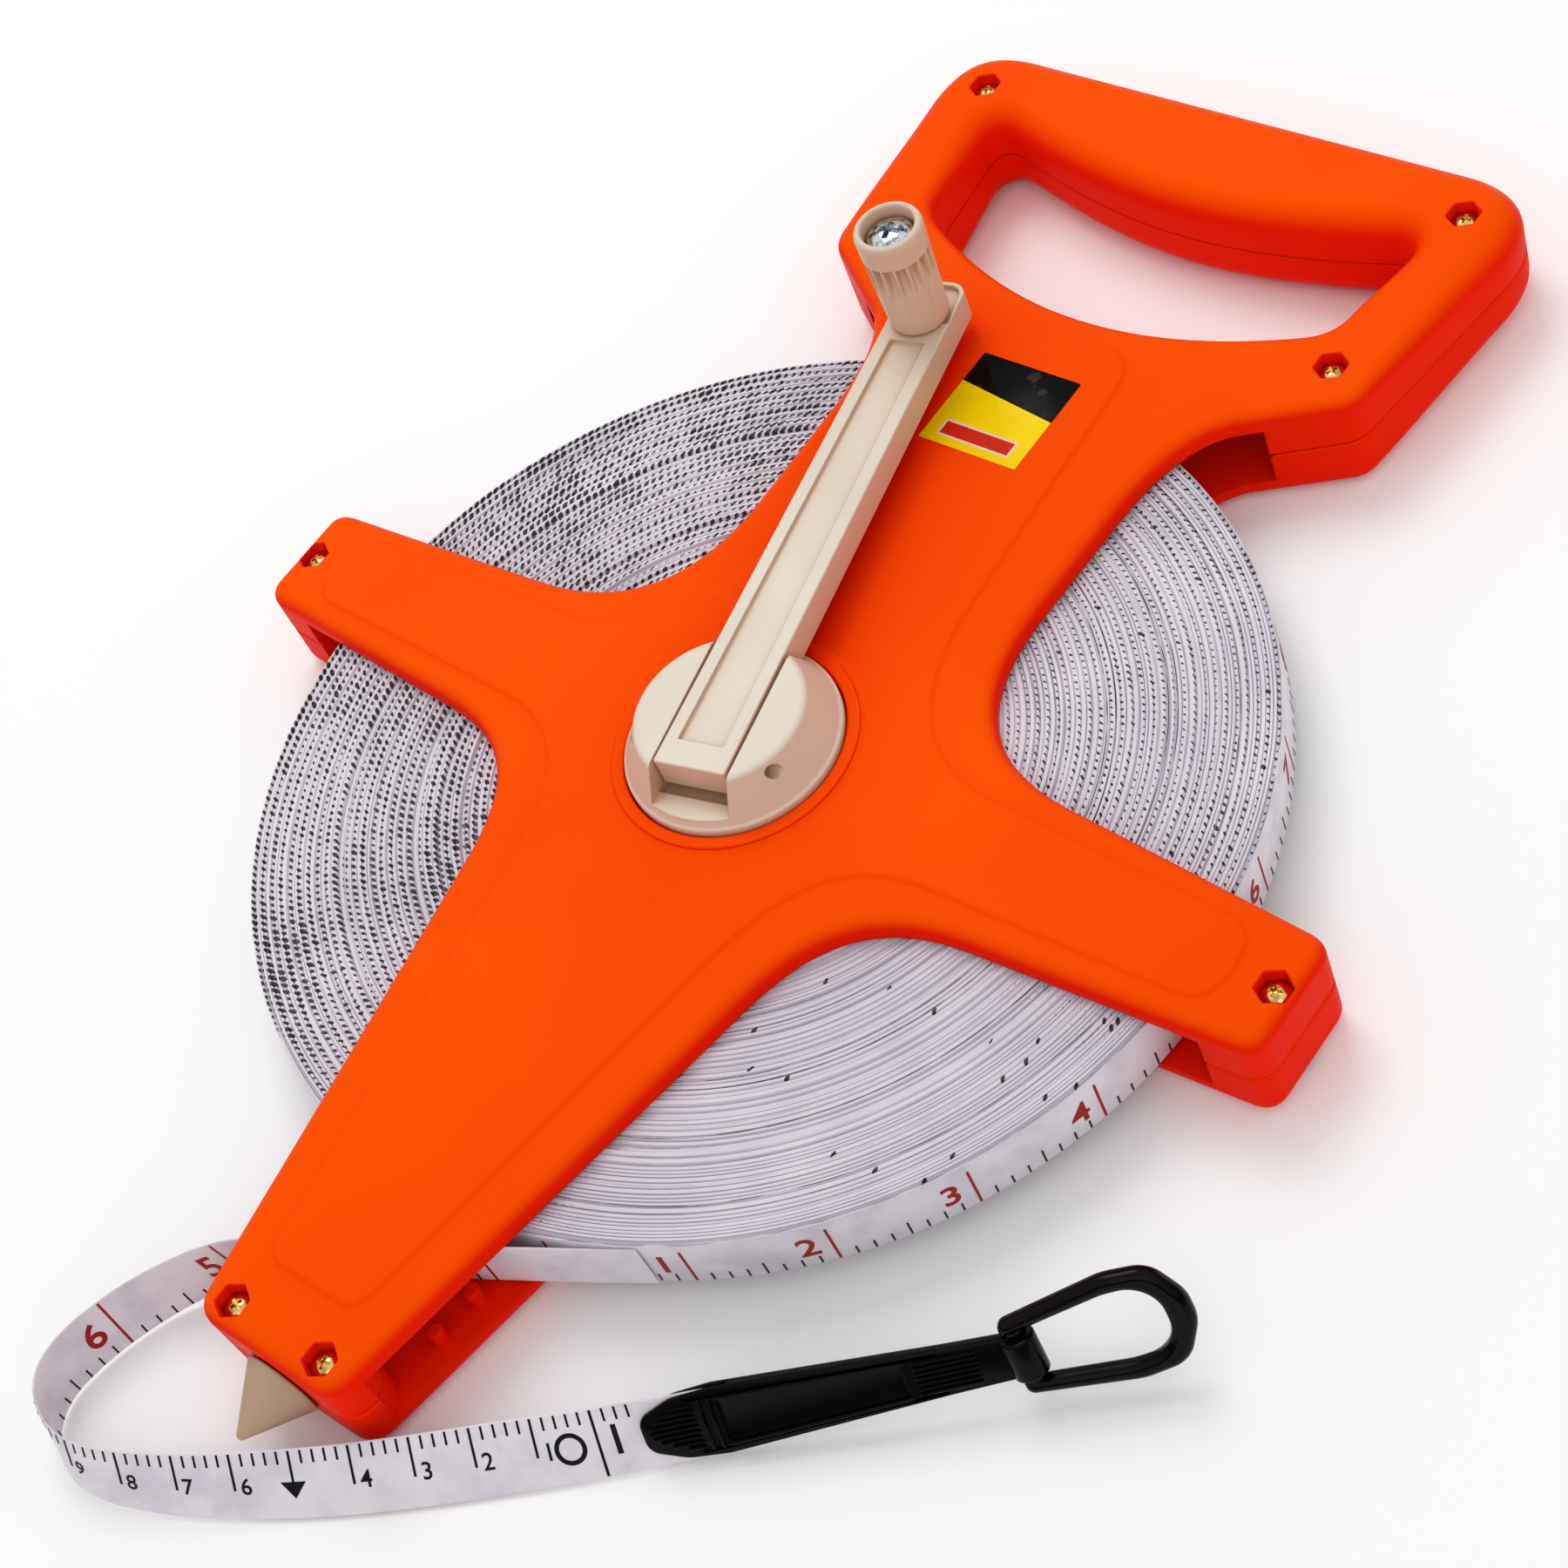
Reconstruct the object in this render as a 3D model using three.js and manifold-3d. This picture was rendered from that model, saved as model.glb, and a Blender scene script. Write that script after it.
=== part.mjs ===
// Open-frame surveyor's tape reel, lying on its back.
// Millimetres, +Z up and out of the front face, +Y towards the handle, +X to the right.
// The origin is where the reel axis meets the flat back of the frame.
import * as THREE from 'three';
import { mergeVertices } from 'three/addons/utils/BufferGeometryUtils.js';
import Module from 'manifold-3d';

const wasm = await Module();
wasm.setup();

// ---- driving dimensions ---------------------------------------------------------------
const GAP = 0.3; // running and touching clearance

const TAPE_WIDTH = 13;
const TAPE_THICKNESS = 0.5;
const ROLL_RADIUS = 103;
const CORE_RADIUS = 27;

const DEPTH = 23.2; // frame, back face to front face
const MID = DEPTH / 2;
const EDGE_ROUND = 3;
const PLATE = 4.4; // plate with its edge flange
const SKIN = 2.6; // plate inside the flange
const WALL = 2.8;

const CAVITY_RADIUS = 113; // the arms are solid blocks beyond this
const FOOT_BLOCK_TOP = -131;
const FOOT_END = -143;
const HANDLE_TOP = 182;
const ARM_END = 124;

const COLLAR_RADIUS = 24.9;
const DISC_RADIUS = 21.9;
const DISC_TOP_RADIUS = 16.4;
const DISC_RISE = 11.6; // above the front face
const SPIGOT_RADIUS = 12;

const CRANK_ANGLE = 12.8; // degrees from +Y towards -X
const CRANK_RADIUS = 100.6; // reel axis to knob axis
const ARM_DEPTH = 6.9;
const ARM_TOP = DEPTH + DISC_RISE;
const ARM_BOTTOM = ARM_TOP - ARM_DEPTH;
const PIVOT_BACK = 9.4; // crank pin behind the reel axis
const PIVOT_Z = DEPTH + 8.8;
const PIN_RADIUS = 1.1;
const KNOB_HEIGHT = 25.6;
const POST_RADIUS = 3;

const SCREW_PLACES = [
  [-120, 0], [120, 0], [-11.5, -138], [11.5, -138],
  [-59.5, 169.5], [59.5, 169.5], [-55.8, 125], [55.8, 125],
];
const SCREW_RADIUS = 1.4;
const SCREW_LENGTH = 15;
const HEX_ACROSS = 3.5; // centre to corner
const HEX_DEPTH = 4.2;

const SPIKE_TIP = -155.8;
const SPIKE_RADIUS = 7.7;

const ROUND_STEPS = 40;

// ---- materials ------------------------------------------------------------------------
const plastic = (color, roughness = 0.42) => new THREE.MeshStandardMaterial({ color, roughness, metalness: 0 });
const metal = (color, roughness = 0.25) => new THREE.MeshStandardMaterial({ color, roughness, metalness: 1 });
const ORANGE = 0xfa500a;
const BEIGE = 0xe2d8cb;

// ---- solids ---------------------------------------------------------------------------
function solid(geometry) {
  const bare = geometry.index ? geometry.toNonIndexed() : geometry.clone();
  for (const attribute of ['normal', 'uv']) bare.deleteAttribute(attribute);
  const merged = mergeVertices(bare, 1e-4);
  return new wasm.Manifold(new wasm.Mesh({
    numProp: 3,
    vertProperties: new Float32Array(merged.attributes.position.array),
    triVerts: new Uint32Array(merged.index.array),
  }));
}

function geometryOf(manifold) {
  const mesh = manifold.getMesh();
  const geometry = new THREE.BufferGeometry();
  geometry.setAttribute('position', new THREE.BufferAttribute(new Float32Array(mesh.vertProperties), 3));
  geometry.setIndex(new THREE.BufferAttribute(new Uint32Array(mesh.triVerts), 1));
  return geometry;
}

const joined = (solids) => solids.reduce((all, one) => all.add(one));
const cutBy = (body, tools) => tools.reduce((left, tool) => left.subtract(tool), body);

function prism(points, low, high) {
  const shape = new THREE.Shape(points);
  const geometry = new THREE.ExtrudeGeometry(shape, { depth: high - low, bevelEnabled: false, steps: 1 });
  return solid(geometry.translate(0, 0, low));
}

// A plate whose lower edge is rounded.
function roundedPlate(points, low, high, round) {
  const geometry = new THREE.ExtrudeGeometry(new THREE.Shape(points), {
    depth: high - low, steps: 1, bevelEnabled: true,
    bevelThickness: round, bevelSize: round, bevelOffset: -round, bevelSegments: 3,
  });
  return solid(geometry.translate(0, 0, low + round)).subtract(block(-400, -400, high, 400, 400, high + 60));
}

function block(x0, y0, z0, x1, y1, z1) {
  const geometry = new THREE.BoxGeometry(x1 - x0, y1 - y0, z1 - z0);
  return solid(geometry.translate((x0 + x1) / 2, (y0 + y1) / 2, (z0 + z1) / 2));
}

function post(x, y, low, high, radius, steps = ROUND_STEPS) {
  const geometry = new THREE.CylinderGeometry(radius, radius, high - low, steps);
  return solid(geometry.rotateX(Math.PI / 2).translate(x, y, (low + high) / 2));
}

// A turned piece about Z; the profile runs anticlockwise as [radius, z].
function turned(profile, steps = ROUND_STEPS) {
  const points = [...profile, profile[0]].map(([r, z]) => new THREE.Vector2(r, z));
  return new THREE.LatheGeometry(points, steps).rotateX(Math.PI / 2);
}

// ---- outlines -------------------------------------------------------------------------
// Each half outline runs up the right side from the bottom of the Y axis to its top.
function mirrored(half) {
  const left = half.filter((p) => p.x > 0.01).map((p) => new THREE.Vector2(-p.x, p.y)).reverse();
  return [...half, ...left];
}

function walked(draw, divisions = 6) {
  const path = new THREE.Path();
  draw(path);
  return path.getPoints(divisions);
}

const frameOutline = mirrored(walked((p) => {
  p.moveTo(0, FOOT_END);
  p.lineTo(13, FOOT_END);
  p.quadraticCurveTo(18, FOOT_END, 18.9, -138);
  p.lineTo(34.2, -52);
  p.bezierCurveTo(36.6, -38.5, 38.5, -18, 66, -16.4);
  p.lineTo(119, -12.6);
  p.quadraticCurveTo(ARM_END, -12.2, ARM_END, -8);
  p.lineTo(ARM_END, 8);
  p.quadraticCurveTo(ARM_END, 12.2, 119, 12.6);
  p.lineTo(66, 16.4);
  p.bezierCurveTo(45, 18, 35, 30, 35.4, 52);
  p.lineTo(36, 78);
  p.quadraticCurveTo(36.6, 98, 45, 105);
  p.lineTo(62.5, 116.5);
  p.quadraticCurveTo(65, 118.2, 65.4, 122);
  p.lineTo(71, 163);
  p.quadraticCurveTo(72.4, HANDLE_TOP - 0.6, 55, HANDLE_TOP);
  p.lineTo(0, HANDLE_TOP);
}));

const handHoleOutline = mirrored(walked((p) => {
  p.moveTo(0, 119);
  p.bezierCurveTo(18, 119, 33, 124.5, 45.5, 131);
  p.quadraticCurveTo(50.4, 133.6, 51, 138.5);
  p.lineTo(53, 157);
  p.quadraticCurveTo(53.6, 163.8, 47, 162);
  p.bezierCurveTo(34, 158, 18, 153.8, 0, 153.8);
}));

const panelOutline = mirrored(walked((p) => {
  p.moveTo(0, -128);
  p.lineTo(8, -128);
  p.quadraticCurveTo(11.3, -128, 12, -123);
  p.lineTo(24.5, -46);
  p.bezierCurveTo(27, -28, 32, -12, 52, -10.4);
  p.lineTo(106, -8.4);
  p.quadraticCurveTo(112, -8, 112, 0);
  p.quadraticCurveTo(112, 8, 106, 8.4);
  p.lineTo(52, 10.4);
  p.bezierCurveTo(34, 12, 24, 26, 22.8, 50);
  p.lineTo(19, 104);
  p.quadraticCurveTo(18, 112.5, 11, 112.5);
  p.lineTo(0, 112.5);
}));

// The same outline moved inwards by `inset` (outwards when negative).
function offset(points, inset) {
  return points.map((point, i) => {
    const before = points[(i + points.length - 1) % points.length];
    const after = points[(i + 1) % points.length];
    const into = point.clone().sub(before).normalize();
    const out = after.clone().sub(point).normalize();
    const bisector = new THREE.Vector2(-(into.y + out.y), into.x + out.x).normalize();
    const stretch = Math.max(0.5, bisector.x * -into.y + bisector.y * into.x);
    return point.clone().addScaledVector(bisector, inset / stretch);
  });
}

// ---- frame shells ---------------------------------------------------------------------
// Both shells start from this half: outer face at z = 0, parting face just below MID.
function shellHalf() {
  const top = MID - GAP / 2;
  const opening = offset(handHoleOutline, -WALL);
  const neck = [[-42, 92], [42, 92], [51, 110.5], [46, 124], [-46, 124], [-51, 110.5]];
  const neckSpace = prism(neck.map(([x, y]) => new THREE.Vector2(x, y)), PLATE, MID + 1)
    .subtract(prism(opening, PLATE - 1, MID + 2));
  const inside = offset(frameOutline, WALL + 0.4);
  const handleHollow = cutBy(
    prism(inside, SKIN, MID + 1).subtract(block(-200, -200, 0, 200, 92, 20)),
    [prism(opening, 0, MID + 2), ...SCREW_PLACES.slice(4).map(([x, y]) => post(x, y, 0, MID + 2, 5))],
  );
  const plateHollow = cutBy(
    prism(inside, SKIN, PLATE + 1).intersect(post(0, 0, 0, PLATE + 2, 108, 64)),
    [post(0, 0, 0, PLATE + 2, 31), ...ribs()],
  );
  const footSpace = block(-40, FOOT_BLOCK_TOP, PLATE, 40, -80, MID + 1);
  const footBosses = [-1, 1].map((side) => post(side * 11.5, -138, 1, top, 6, 24)
    .intersect(prism(offset(frameOutline, 0.8), 0, MID)));
  const spaces = [
    post(0, 0, PLATE, MID + 1, CAVITY_RADIUS, 72), footSpace, neckSpace, handleHollow, plateHollow,
  ];
  const half = cutBy(roundedPlate(frameOutline, 0, top, EDGE_ROUND), spaces);
  const hole = solid(new THREE.ExtrudeGeometry(new THREE.Shape(handHoleOutline), {
    depth: MID + 2, steps: 1, bevelEnabled: true,
    bevelThickness: 4, bevelSize: -4, bevelOffset: 4, bevelSegments: 2,
  }).translate(0, 0, 4 - 0.01));
  return joined([half, ...footBosses]).subtract(hole).subtract(spikeSocket());
}

// Stiffening ribs left standing across the hollow of the plate.
function ribs() {
  const across = [-100, -76, -52, 52, 76].map((y) => block(-40, y - 0.8, 0, 40, y + 0.8, PLATE + 2));
  const along = [-90, -60, 60, 90].map((x) => block(x - 0.8, -20, 0, x + 0.8, 20, PLATE + 2));
  return [...across, ...along];
}

// The space that the spike's shank and flange fill, open towards the foot.
function spikeSocket() {
  const reach = (radius, y0, y1) => solid(new THREE.CylinderGeometry(radius, radius, y1 - y0, 28)
    .translate(0, (y0 + y1) / 2, MID));
  return reach(5 + GAP, FOOT_END - 2, -133).add(reach(SPIKE_RADIUS + GAP, -137.3, -133.7));
}

// From back to front: the same half turned over, so that its outer face is at z = DEPTH.
const turnedOver = (body) => body.rotate([0, 180, 0]).translate([0, 0, DEPTH]);

function hexRecess([x, y]) {
  return post(x, y, DEPTH - HEX_DEPTH, DEPTH + 2, HEX_ACROSS, 6);
}

function frontShell() {
  const panel = roundedPlate(panelOutline, 0, PLATE - 1, 0.9).rotate([0, 180, 0])
    .translate([0, 0, DEPTH + 0.6]);
  const collar = solid(turned([
    [DISC_RADIUS - 1, DEPTH - 3], [COLLAR_RADIUS, DEPTH - 3], [COLLAR_RADIUS, DEPTH + 1.2],
    [COLLAR_RADIUS - 0.6, DEPTH + 1.8], [DISC_RADIUS - 1, DEPTH + 1.8],
  ], 64));
  const bosses = SCREW_PLACES.slice(4).map(([x, y]) => post(x, y, MID + GAP / 2, DEPTH - 1, 5, 24));
  const holes = SCREW_PLACES.map(([x, y]) => post(x, y, -1, DEPTH + 1, SCREW_RADIUS + GAP, 16));
  const labelSeat = block(-12.4, 77.6, DEPTH - 0.3, 12.4, 102.4, DEPTH + 3);
  return cutBy(joined([turnedOver(shellHalf()), panel, collar, ...bosses]), [
    post(0, 0, 0, DEPTH + 5, DISC_RADIUS + GAP, 64), ...holes, ...SCREW_PLACES.map(hexRecess), labelSeat,
  ]);
}

function rearShell() {
  const spigot = solid(turned([
    [SPIGOT_RADIUS - 2.6, 1.5], [SPIGOT_RADIUS, 1.5], [SPIGOT_RADIUS, 14.8], [SPIGOT_RADIUS - 2.6, 14.8],
  ]));
  const pegs = [[17.5, -111.5], [16.6, -121]].map(([x, y]) => post(x, y, 2, PLATE + 4, 1.6, 14));
  const bosses = SCREW_PLACES.slice(4).map(([x, y]) => post(x, y, 1, MID - GAP / 2, 5, 24));
  const holes = SCREW_PLACES.map(([x, y]) => post(x, y, 3, MID + 1, SCREW_RADIUS + GAP, 16));
  const panel = prism(panelOutline, -1, 0.6).subtract(post(0, 0, -2, 2, 30, 48));
  return cutBy(joined([shellHalf(), spigot, ...pegs, ...bosses]), [...holes, panel]);
}

// ---- turned and small pieces ----------------------------------------------------------
function screwSolid(headTop, headRadius, headHeight, shankRadius, length, driveDepth) {
  const under = headTop - headHeight;
  const body = solid(turned([
    [0, under - length], [shankRadius * 0.6, under - length], [shankRadius, under - length + 1.2],
    [shankRadius, under], [headRadius, under], [headRadius, headTop - headHeight * 0.45],
    [headRadius * 0.75, headTop - headHeight * 0.12], [headRadius * 0.4, headTop], [0, headTop],
  ], 20));
  const slot = (x, y) => block(-x, -y, headTop - driveDepth, x, y, headTop + 1);
  return body.subtract(slot(headRadius * 0.55, headRadius * 0.14))
    .subtract(slot(headRadius * 0.14, headRadius * 0.55));
}

function drumProfile() {
  const low = PLATE + 0.5;
  const high = DEPTH - PLATE - GAP;
  const bore = SPIGOT_RADIUS + 0.4;
  return [
    [0, high - 3], [bore, high - 3], [bore, low], [CORE_RADIUS, low], [CORE_RADIUS, high],
    [CORE_RADIUS - 2.6, high], [CORE_RADIUS - 2.6, low + 2.5], [bore + 2.6, low + 2.5],
    [bore + 2.6, high], [0, high],
  ];
}

const DISC_SCREWS = [90, 210, 330].map((degrees) => THREE.MathUtils.degToRad(degrees));
const DISC_SCREW_CIRCLE = 5.6;
const discScrewPlace = (angle) => [DISC_SCREW_CIRCLE * Math.cos(angle), DISC_SCREW_CIRCLE * Math.sin(angle)];

function drum() {
  const slot = block(CORE_RADIUS - 5, -1.3, PLATE + 2.5, CORE_RADIUS + 2, 1.3, DEPTH);
  const holes = DISC_SCREWS.map((a) => post(...discScrewPlace(a), 10, 20, SCREW_RADIUS, 14));
  return cutBy(solid(turned(drumProfile(), 56)), [slot, ...holes]);
}

function tapeRoll() {
  const low = MID - TAPE_WIDTH / 2;
  const high = MID + TAPE_WIDTH / 2;
  const inner = CORE_RADIUS + GAP;
  return turned([
    [inner, low], [ROLL_RADIUS, low], [ROLL_RADIUS, high], [inner, high],
  ], 96);
}

// ---- crank ----------------------------------------------------------------------------
// The crank is drawn along +Y and turned to its resting angle by its group.
const discEdge = (z) => DISC_RADIUS - (DISC_RADIUS - DISC_TOP_RADIUS) * ((z - DEPTH) / DISC_RISE);
const alongX = (radius, half, y, z, steps = 20) => solid(
  new THREE.CylinderGeometry(radius, radius, 2 * half, steps).rotateZ(Math.PI / 2).translate(0, y, z));

function crankDisc() {
  const low = DEPTH - PLATE;
  const body = solid(turned([
    [0, low], [10.5, low], [10.5, DEPTH - 0.5], [18.6, DEPTH - 0.5], [18.6, low], [DISC_RADIUS, low],
    [DISC_RADIUS, DEPTH + 0.6], [discEdge(ARM_TOP - 3) + 0.7, ARM_TOP - 3],
    [DISC_TOP_RADIUS + 0.5, ARM_TOP - 0.8], [DISC_TOP_RADIUS - 0.6, ARM_TOP], [0, ARM_TOP],
  ], 64));
  const half = 8.2;
  const floor = ARM_BOTTOM - GAP;
  const well = PIVOT_Z - 6.6;
  const holes = DISC_SCREWS.map((a) => {
    const [x, y] = discScrewPlace(a - THREE.MathUtils.degToRad(CRANK_ANGLE));
    return post(x, y, low - 1, DEPTH + 2.2, SCREW_RADIUS, 14);
  });
  return cutBy(body, [
    block(-half, -30, floor, half, 30, ARM_TOP + 5),
    block(-half, -PIVOT_BACK - 6.5, well, half, -PIVOT_BACK + 6.5, ARM_TOP + 5),
    alongX(PIN_RADIUS + GAP, 30, -PIVOT_BACK, PIVOT_Z, 16),
    ...holes,
  ]);
}

function armOutline(inset, start, end, corner) {
  const near = 7.8 - inset;
  const far = 6.8 - inset;
  return walked((p) => {
    p.moveTo(-near, start);
    p.lineTo(near, start);
    p.lineTo(far, end - corner);
    p.quadraticCurveTo(far, end, far - corner, end);
    p.lineTo(corner - far, end);
    p.quadraticCurveTo(-far, end, -far, end - corner);
  }, 5);
}

function crankArm() {
  const end = CRANK_RADIUS + 9.8;
  const bar = prism(armOutline(0, -PIVOT_BACK - 4.4, end, 4), ARM_BOTTOM, ARM_TOP);
  const facePanel = prism(armOutline(2.9, -8, 93.5, 0.5), ARM_TOP - 0.5, ARM_TOP + 1);
  const tray = prism(armOutline(1, CRANK_RADIUS, end - 1, 3), ARM_TOP - 0.7, ARM_TOP + 1);
  const underside = prism(armOutline(2, 6, 92, 1), ARM_BOTTOM - 1, ARM_TOP - 2.6);
  const knobPost = solid(turned([
    [0, ARM_BOTTOM + 1], [POST_RADIUS, ARM_BOTTOM + 1], [POST_RADIUS, ARM_TOP + KNOB_HEIGHT - 5.4],
    [0, ARM_TOP + KNOB_HEIGHT - 5.4],
  ], 24)).translate([0, CRANK_RADIUS, 0]);
  const seat = post(0, CRANK_RADIUS, ARM_TOP - 2, ARM_TOP, 5.2, 28);
  return cutBy(bar, [facePanel, tray, underside]).add(seat).add(knobPost)
    .subtract(alongX(PIN_RADIUS + GAP, 20, -PIVOT_BACK, PIVOT_Z, 16))
    .subtract(post(0, CRANK_RADIUS, ARM_TOP + 8, ARM_TOP + KNOB_HEIGHT, SCREW_RADIUS + GAP, 16));
}

function knobProfile() {
  const low = ARM_TOP + GAP;
  const high = ARM_TOP + KNOB_HEIGHT;
  const bore = POST_RADIUS + GAP;
  return [
    [bore, low], [5.9, low], [6.3, low + 1], [7, high - 5], [7.1, high - 1], [6.4, high],
    [5.7, high - 0.4], [5.4, high - 1.2], [5.4, high - 5.6], [bore, high - 5.6],
  ];
}

// ---- tape lead ------------------------------------------------------------------------
// Route of the middle of the tape: x, y, z and lean of its width from upright in degrees,
// positive to the left of the direction of travel. It leaves the roll, passes through the
// foot between the shells, drops to the ground and loops round under the spike.
const TAPE_ROUTE = [
  [46.6, -92.6, MID, 0], [34, -99, MID, 0], [20, -106.1, MID, 0], [6, -113.2, MID, 0],
  [-8, -120.2, MID, 0], [-18.5, -125.2, 11.4, -1], [-25.5, -129, 10.4, -3], [-31, -133, 8.6, -6],
  [-35.4, -137.4, 7.2, -9], [-39, -142.6, 6.6, -11], [-41.9, -148.8, 6.5, -12],
  [-44, -155, 6.5, -12], [-44.9, -160.6, 6.6, -10], [-44.6, -165.6, 6.7, -5], [-42.3, -170, 6.7, 3],
  [-38, -173.4, 6.6, 11], [-32, -175.2, 6.4, 18], [-25, -174.6, 6.1, 24], [-16, -171.3, 5.8, 30],
  [-5.5, -166, 5.4, 36], [5, -159.6, 5.1, 41], [15.2, -152.8, 4.8, 45], [25, -145.6, 4.6, 48],
  [34.4, -138.3, 4.5, 49], [43.3, -131.3, 4.7, 47], [51.6, -124.9, 5, 43], [59.6, -118.4, 5.4, 38],
  [67, -112.4, 5.9, 34], [74.6, -106, 6.3, 32],
];

const UP = new THREE.Vector3(0, 0, 1);

// A curve that carries the width direction of the tape with it.
class TapePath extends THREE.CatmullRomCurve3 {
  constructor(route) {
    super(route.map(([x, y, z]) => new THREE.Vector3(x, y, z)), false, 'catmullrom', 0.5);
    this.leans = route.map((stop) => THREE.MathUtils.degToRad(stop[3]));
  }

  leanAt(u) {
    const at = this.getUtoTmapping(u) * (this.leans.length - 1);
    const low = Math.min(Math.floor(at), this.leans.length - 2);
    return THREE.MathUtils.lerp(this.leans[low], this.leans[low + 1], at - low);
  }

  computeFrenetFrames(steps) {
    const frames = { tangents: [], normals: [], binormals: [] };
    for (let i = 0; i <= steps; i++) {
      const tangent = this.getTangentAt(i / steps);
      const side = UP.clone().cross(tangent).normalize();
      const upright = tangent.clone().cross(side).normalize();
      const lean = this.leanAt(i / steps);
      const across = upright.multiplyScalar(Math.cos(lean)).addScaledVector(side, Math.sin(lean)).normalize();
      frames.tangents.push(tangent);
      frames.normals.push(across);
      frames.binormals.push(tangent.clone().cross(across).normalize());
    }
    return frames;
  }
}

const tapePath = new TapePath(TAPE_ROUTE);

function tapeLead() {
  const w = TAPE_WIDTH / 2;
  const t = TAPE_THICKNESS / 2;
  const section = [[-w, 0], [0.4 - w, -t], [w - 0.4, -t], [w, 0], [w - 0.4, t], [0.4 - w, t]];
  const shape = new THREE.Shape(section.map(([x, y]) => new THREE.Vector2(x, y)));
  return new THREE.ExtrudeGeometry(shape, { steps: 72, bevelEnabled: false, extrudePath: tapePath });
}

// ---- end fitting ----------------------------------------------------------------------
const RING_CENTRE = new THREE.Vector3(114, -72.6, 9.8); // middle of the ring's crossbar
const RING_BAR = new THREE.Vector3(-0.421, 0.269, 0.866).normalize(); // along the crossbar
const RING_REACH = new THREE.Vector3(0.736, 0.659, 0.153);
const SLEEVE_TIP = new THREE.Vector3(62.4, -116.2, 5.8);
const SLEEVE_LENGTH = RING_CENTRE.distanceTo(SLEEVE_TIP);
const SLEEVE_THICKNESS = 3;
const RING_THICKNESS = 3.6;
const EYE_RADIUS = 3.2;
const BAR_RADIUS = 1.6;

// A group whose X runs along `along`, Y across it as near to `across` as it can, at `place`.
function frameAt(place, along, across) {
  const x = along.clone().normalize();
  const z = x.clone().cross(across).normalize();
  const y = z.clone().cross(x);
  const group = new THREE.Group();
  group.applyMatrix4(new THREE.Matrix4().makeBasis(x, y, z).setPosition(place));
  return group;
}

const sleeveAlong = RING_CENTRE.clone().sub(SLEEVE_TIP);
const sleeveAcross = new THREE.Vector3(-0.35, 0.417, 0.839);
const RING_GROUP = frameAt(RING_CENTRE, RING_REACH, RING_BAR);
const SLEEVE_GROUP = frameAt(RING_CENTRE, sleeveAlong, sleeveAcross);

// Sleeve: x runs from the pointed mouth at -SLEEVE_LENGTH to the ring's crossbar at 0.
function endSleeve() {
  const outline = walked((p) => {
    p.moveTo(-SLEEVE_LENGTH, 0);
    p.quadraticCurveTo(-SLEEVE_LENGTH + 1, -4.4, -SLEEVE_LENGTH + 12, -6.3);
    p.lineTo(-13, -4.2);
    p.lineTo(-2.6, -3.9);
    p.lineTo(-2.6, 3.9);
    p.lineTo(-13, 4.2);
    p.lineTo(-SLEEVE_LENGTH + 12, 6.3);
    p.quadraticCurveTo(-SLEEVE_LENGTH + 1, 4.4, -SLEEVE_LENGTH, 0);
  }, 8).slice(0, -1);
  const body = prism(outline, -SLEEVE_THICKNESS / 2, SLEEVE_THICKNESS / 2);
  const mouth = block(-SLEEVE_LENGTH - 2, -8, -0.65, -SLEEVE_LENGTH + 17, 8, 0.65);
  return cutBy(body, [mouth]);
}

function ringShape() {
  const outer = walked((p) => {
    p.moveTo(-1.8, -7.4);
    p.lineTo(17.5, -10.5);
    p.quadraticCurveTo(22, -10.8, 25.4, -8.2);
    p.quadraticCurveTo(29.6, -5, 29.3, 0);
    p.quadraticCurveTo(29.6, 5, 25.4, 8.2);
    p.quadraticCurveTo(22, 10.8, 17.5, 10.5);
    p.lineTo(-1.8, 7.4);
    p.lineTo(-2.2, 4.3);
    p.lineTo(-2.2, -4.3);
  }, 5);
  const hole = walked((p) => {
    p.moveTo(-3, -4.3);
    p.lineTo(16, -6.9);
    p.quadraticCurveTo(25, -7.1, 25, 0);
    p.quadraticCurveTo(25, 7.1, 16, 6.9);
    p.lineTo(-3, 4.3);
  }, 6);
  return { outer, hole };
}

function endRing() {
  const { outer, hole } = ringShape();
  const bow = prism(outer, -RING_THICKNESS / 2, RING_THICKNESS / 2).subtract(prism(hole, -4, 4));
  const bar = solid(new THREE.CylinderGeometry(BAR_RADIUS, BAR_RADIUS, 10.4, 18));
  return bow.add(bar);
}

// ---- assembly -------------------------------------------------------------------------
const reel = new THREE.Group();

function place(name, shape, material, parent = reel) {
  const geometry = shape.isBufferGeometry ? shape : geometryOf(shape);
  const mesh = new THREE.Mesh(geometry, material);
  mesh.name = name;
  parent.add(mesh);
  return mesh;
}

place('rear_shell', rearShell(), plastic(ORANGE));
place('front_shell', frontShell(), plastic(ORANGE));

const FRAME_SCREW_TOP = DEPTH - 2.2;
SCREW_PLACES.forEach(([x, y], i) => {
  const screw = place(`frame_screw_${i + 1}`,
    screwSolid(FRAME_SCREW_TOP, 2.6, 1.7, SCREW_RADIUS, SCREW_LENGTH, 0.9), metal(0xc9a24e));
  screw.position.set(x, y, 0);
});

const spike = turned([
  [0, 0], [SPIKE_RADIUS, 11.8], [SPIKE_RADIUS, 12.5], [5, 12.5], [5, 18.8],
  [SPIKE_RADIUS, 18.8], [SPIKE_RADIUS, 21.8], [0, 21.8],
], 32).rotateX(-Math.PI / 2).translate(0, SPIKE_TIP, MID);
place('ground_spike', spike, plastic(0xaa9682, 0.55));

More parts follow.
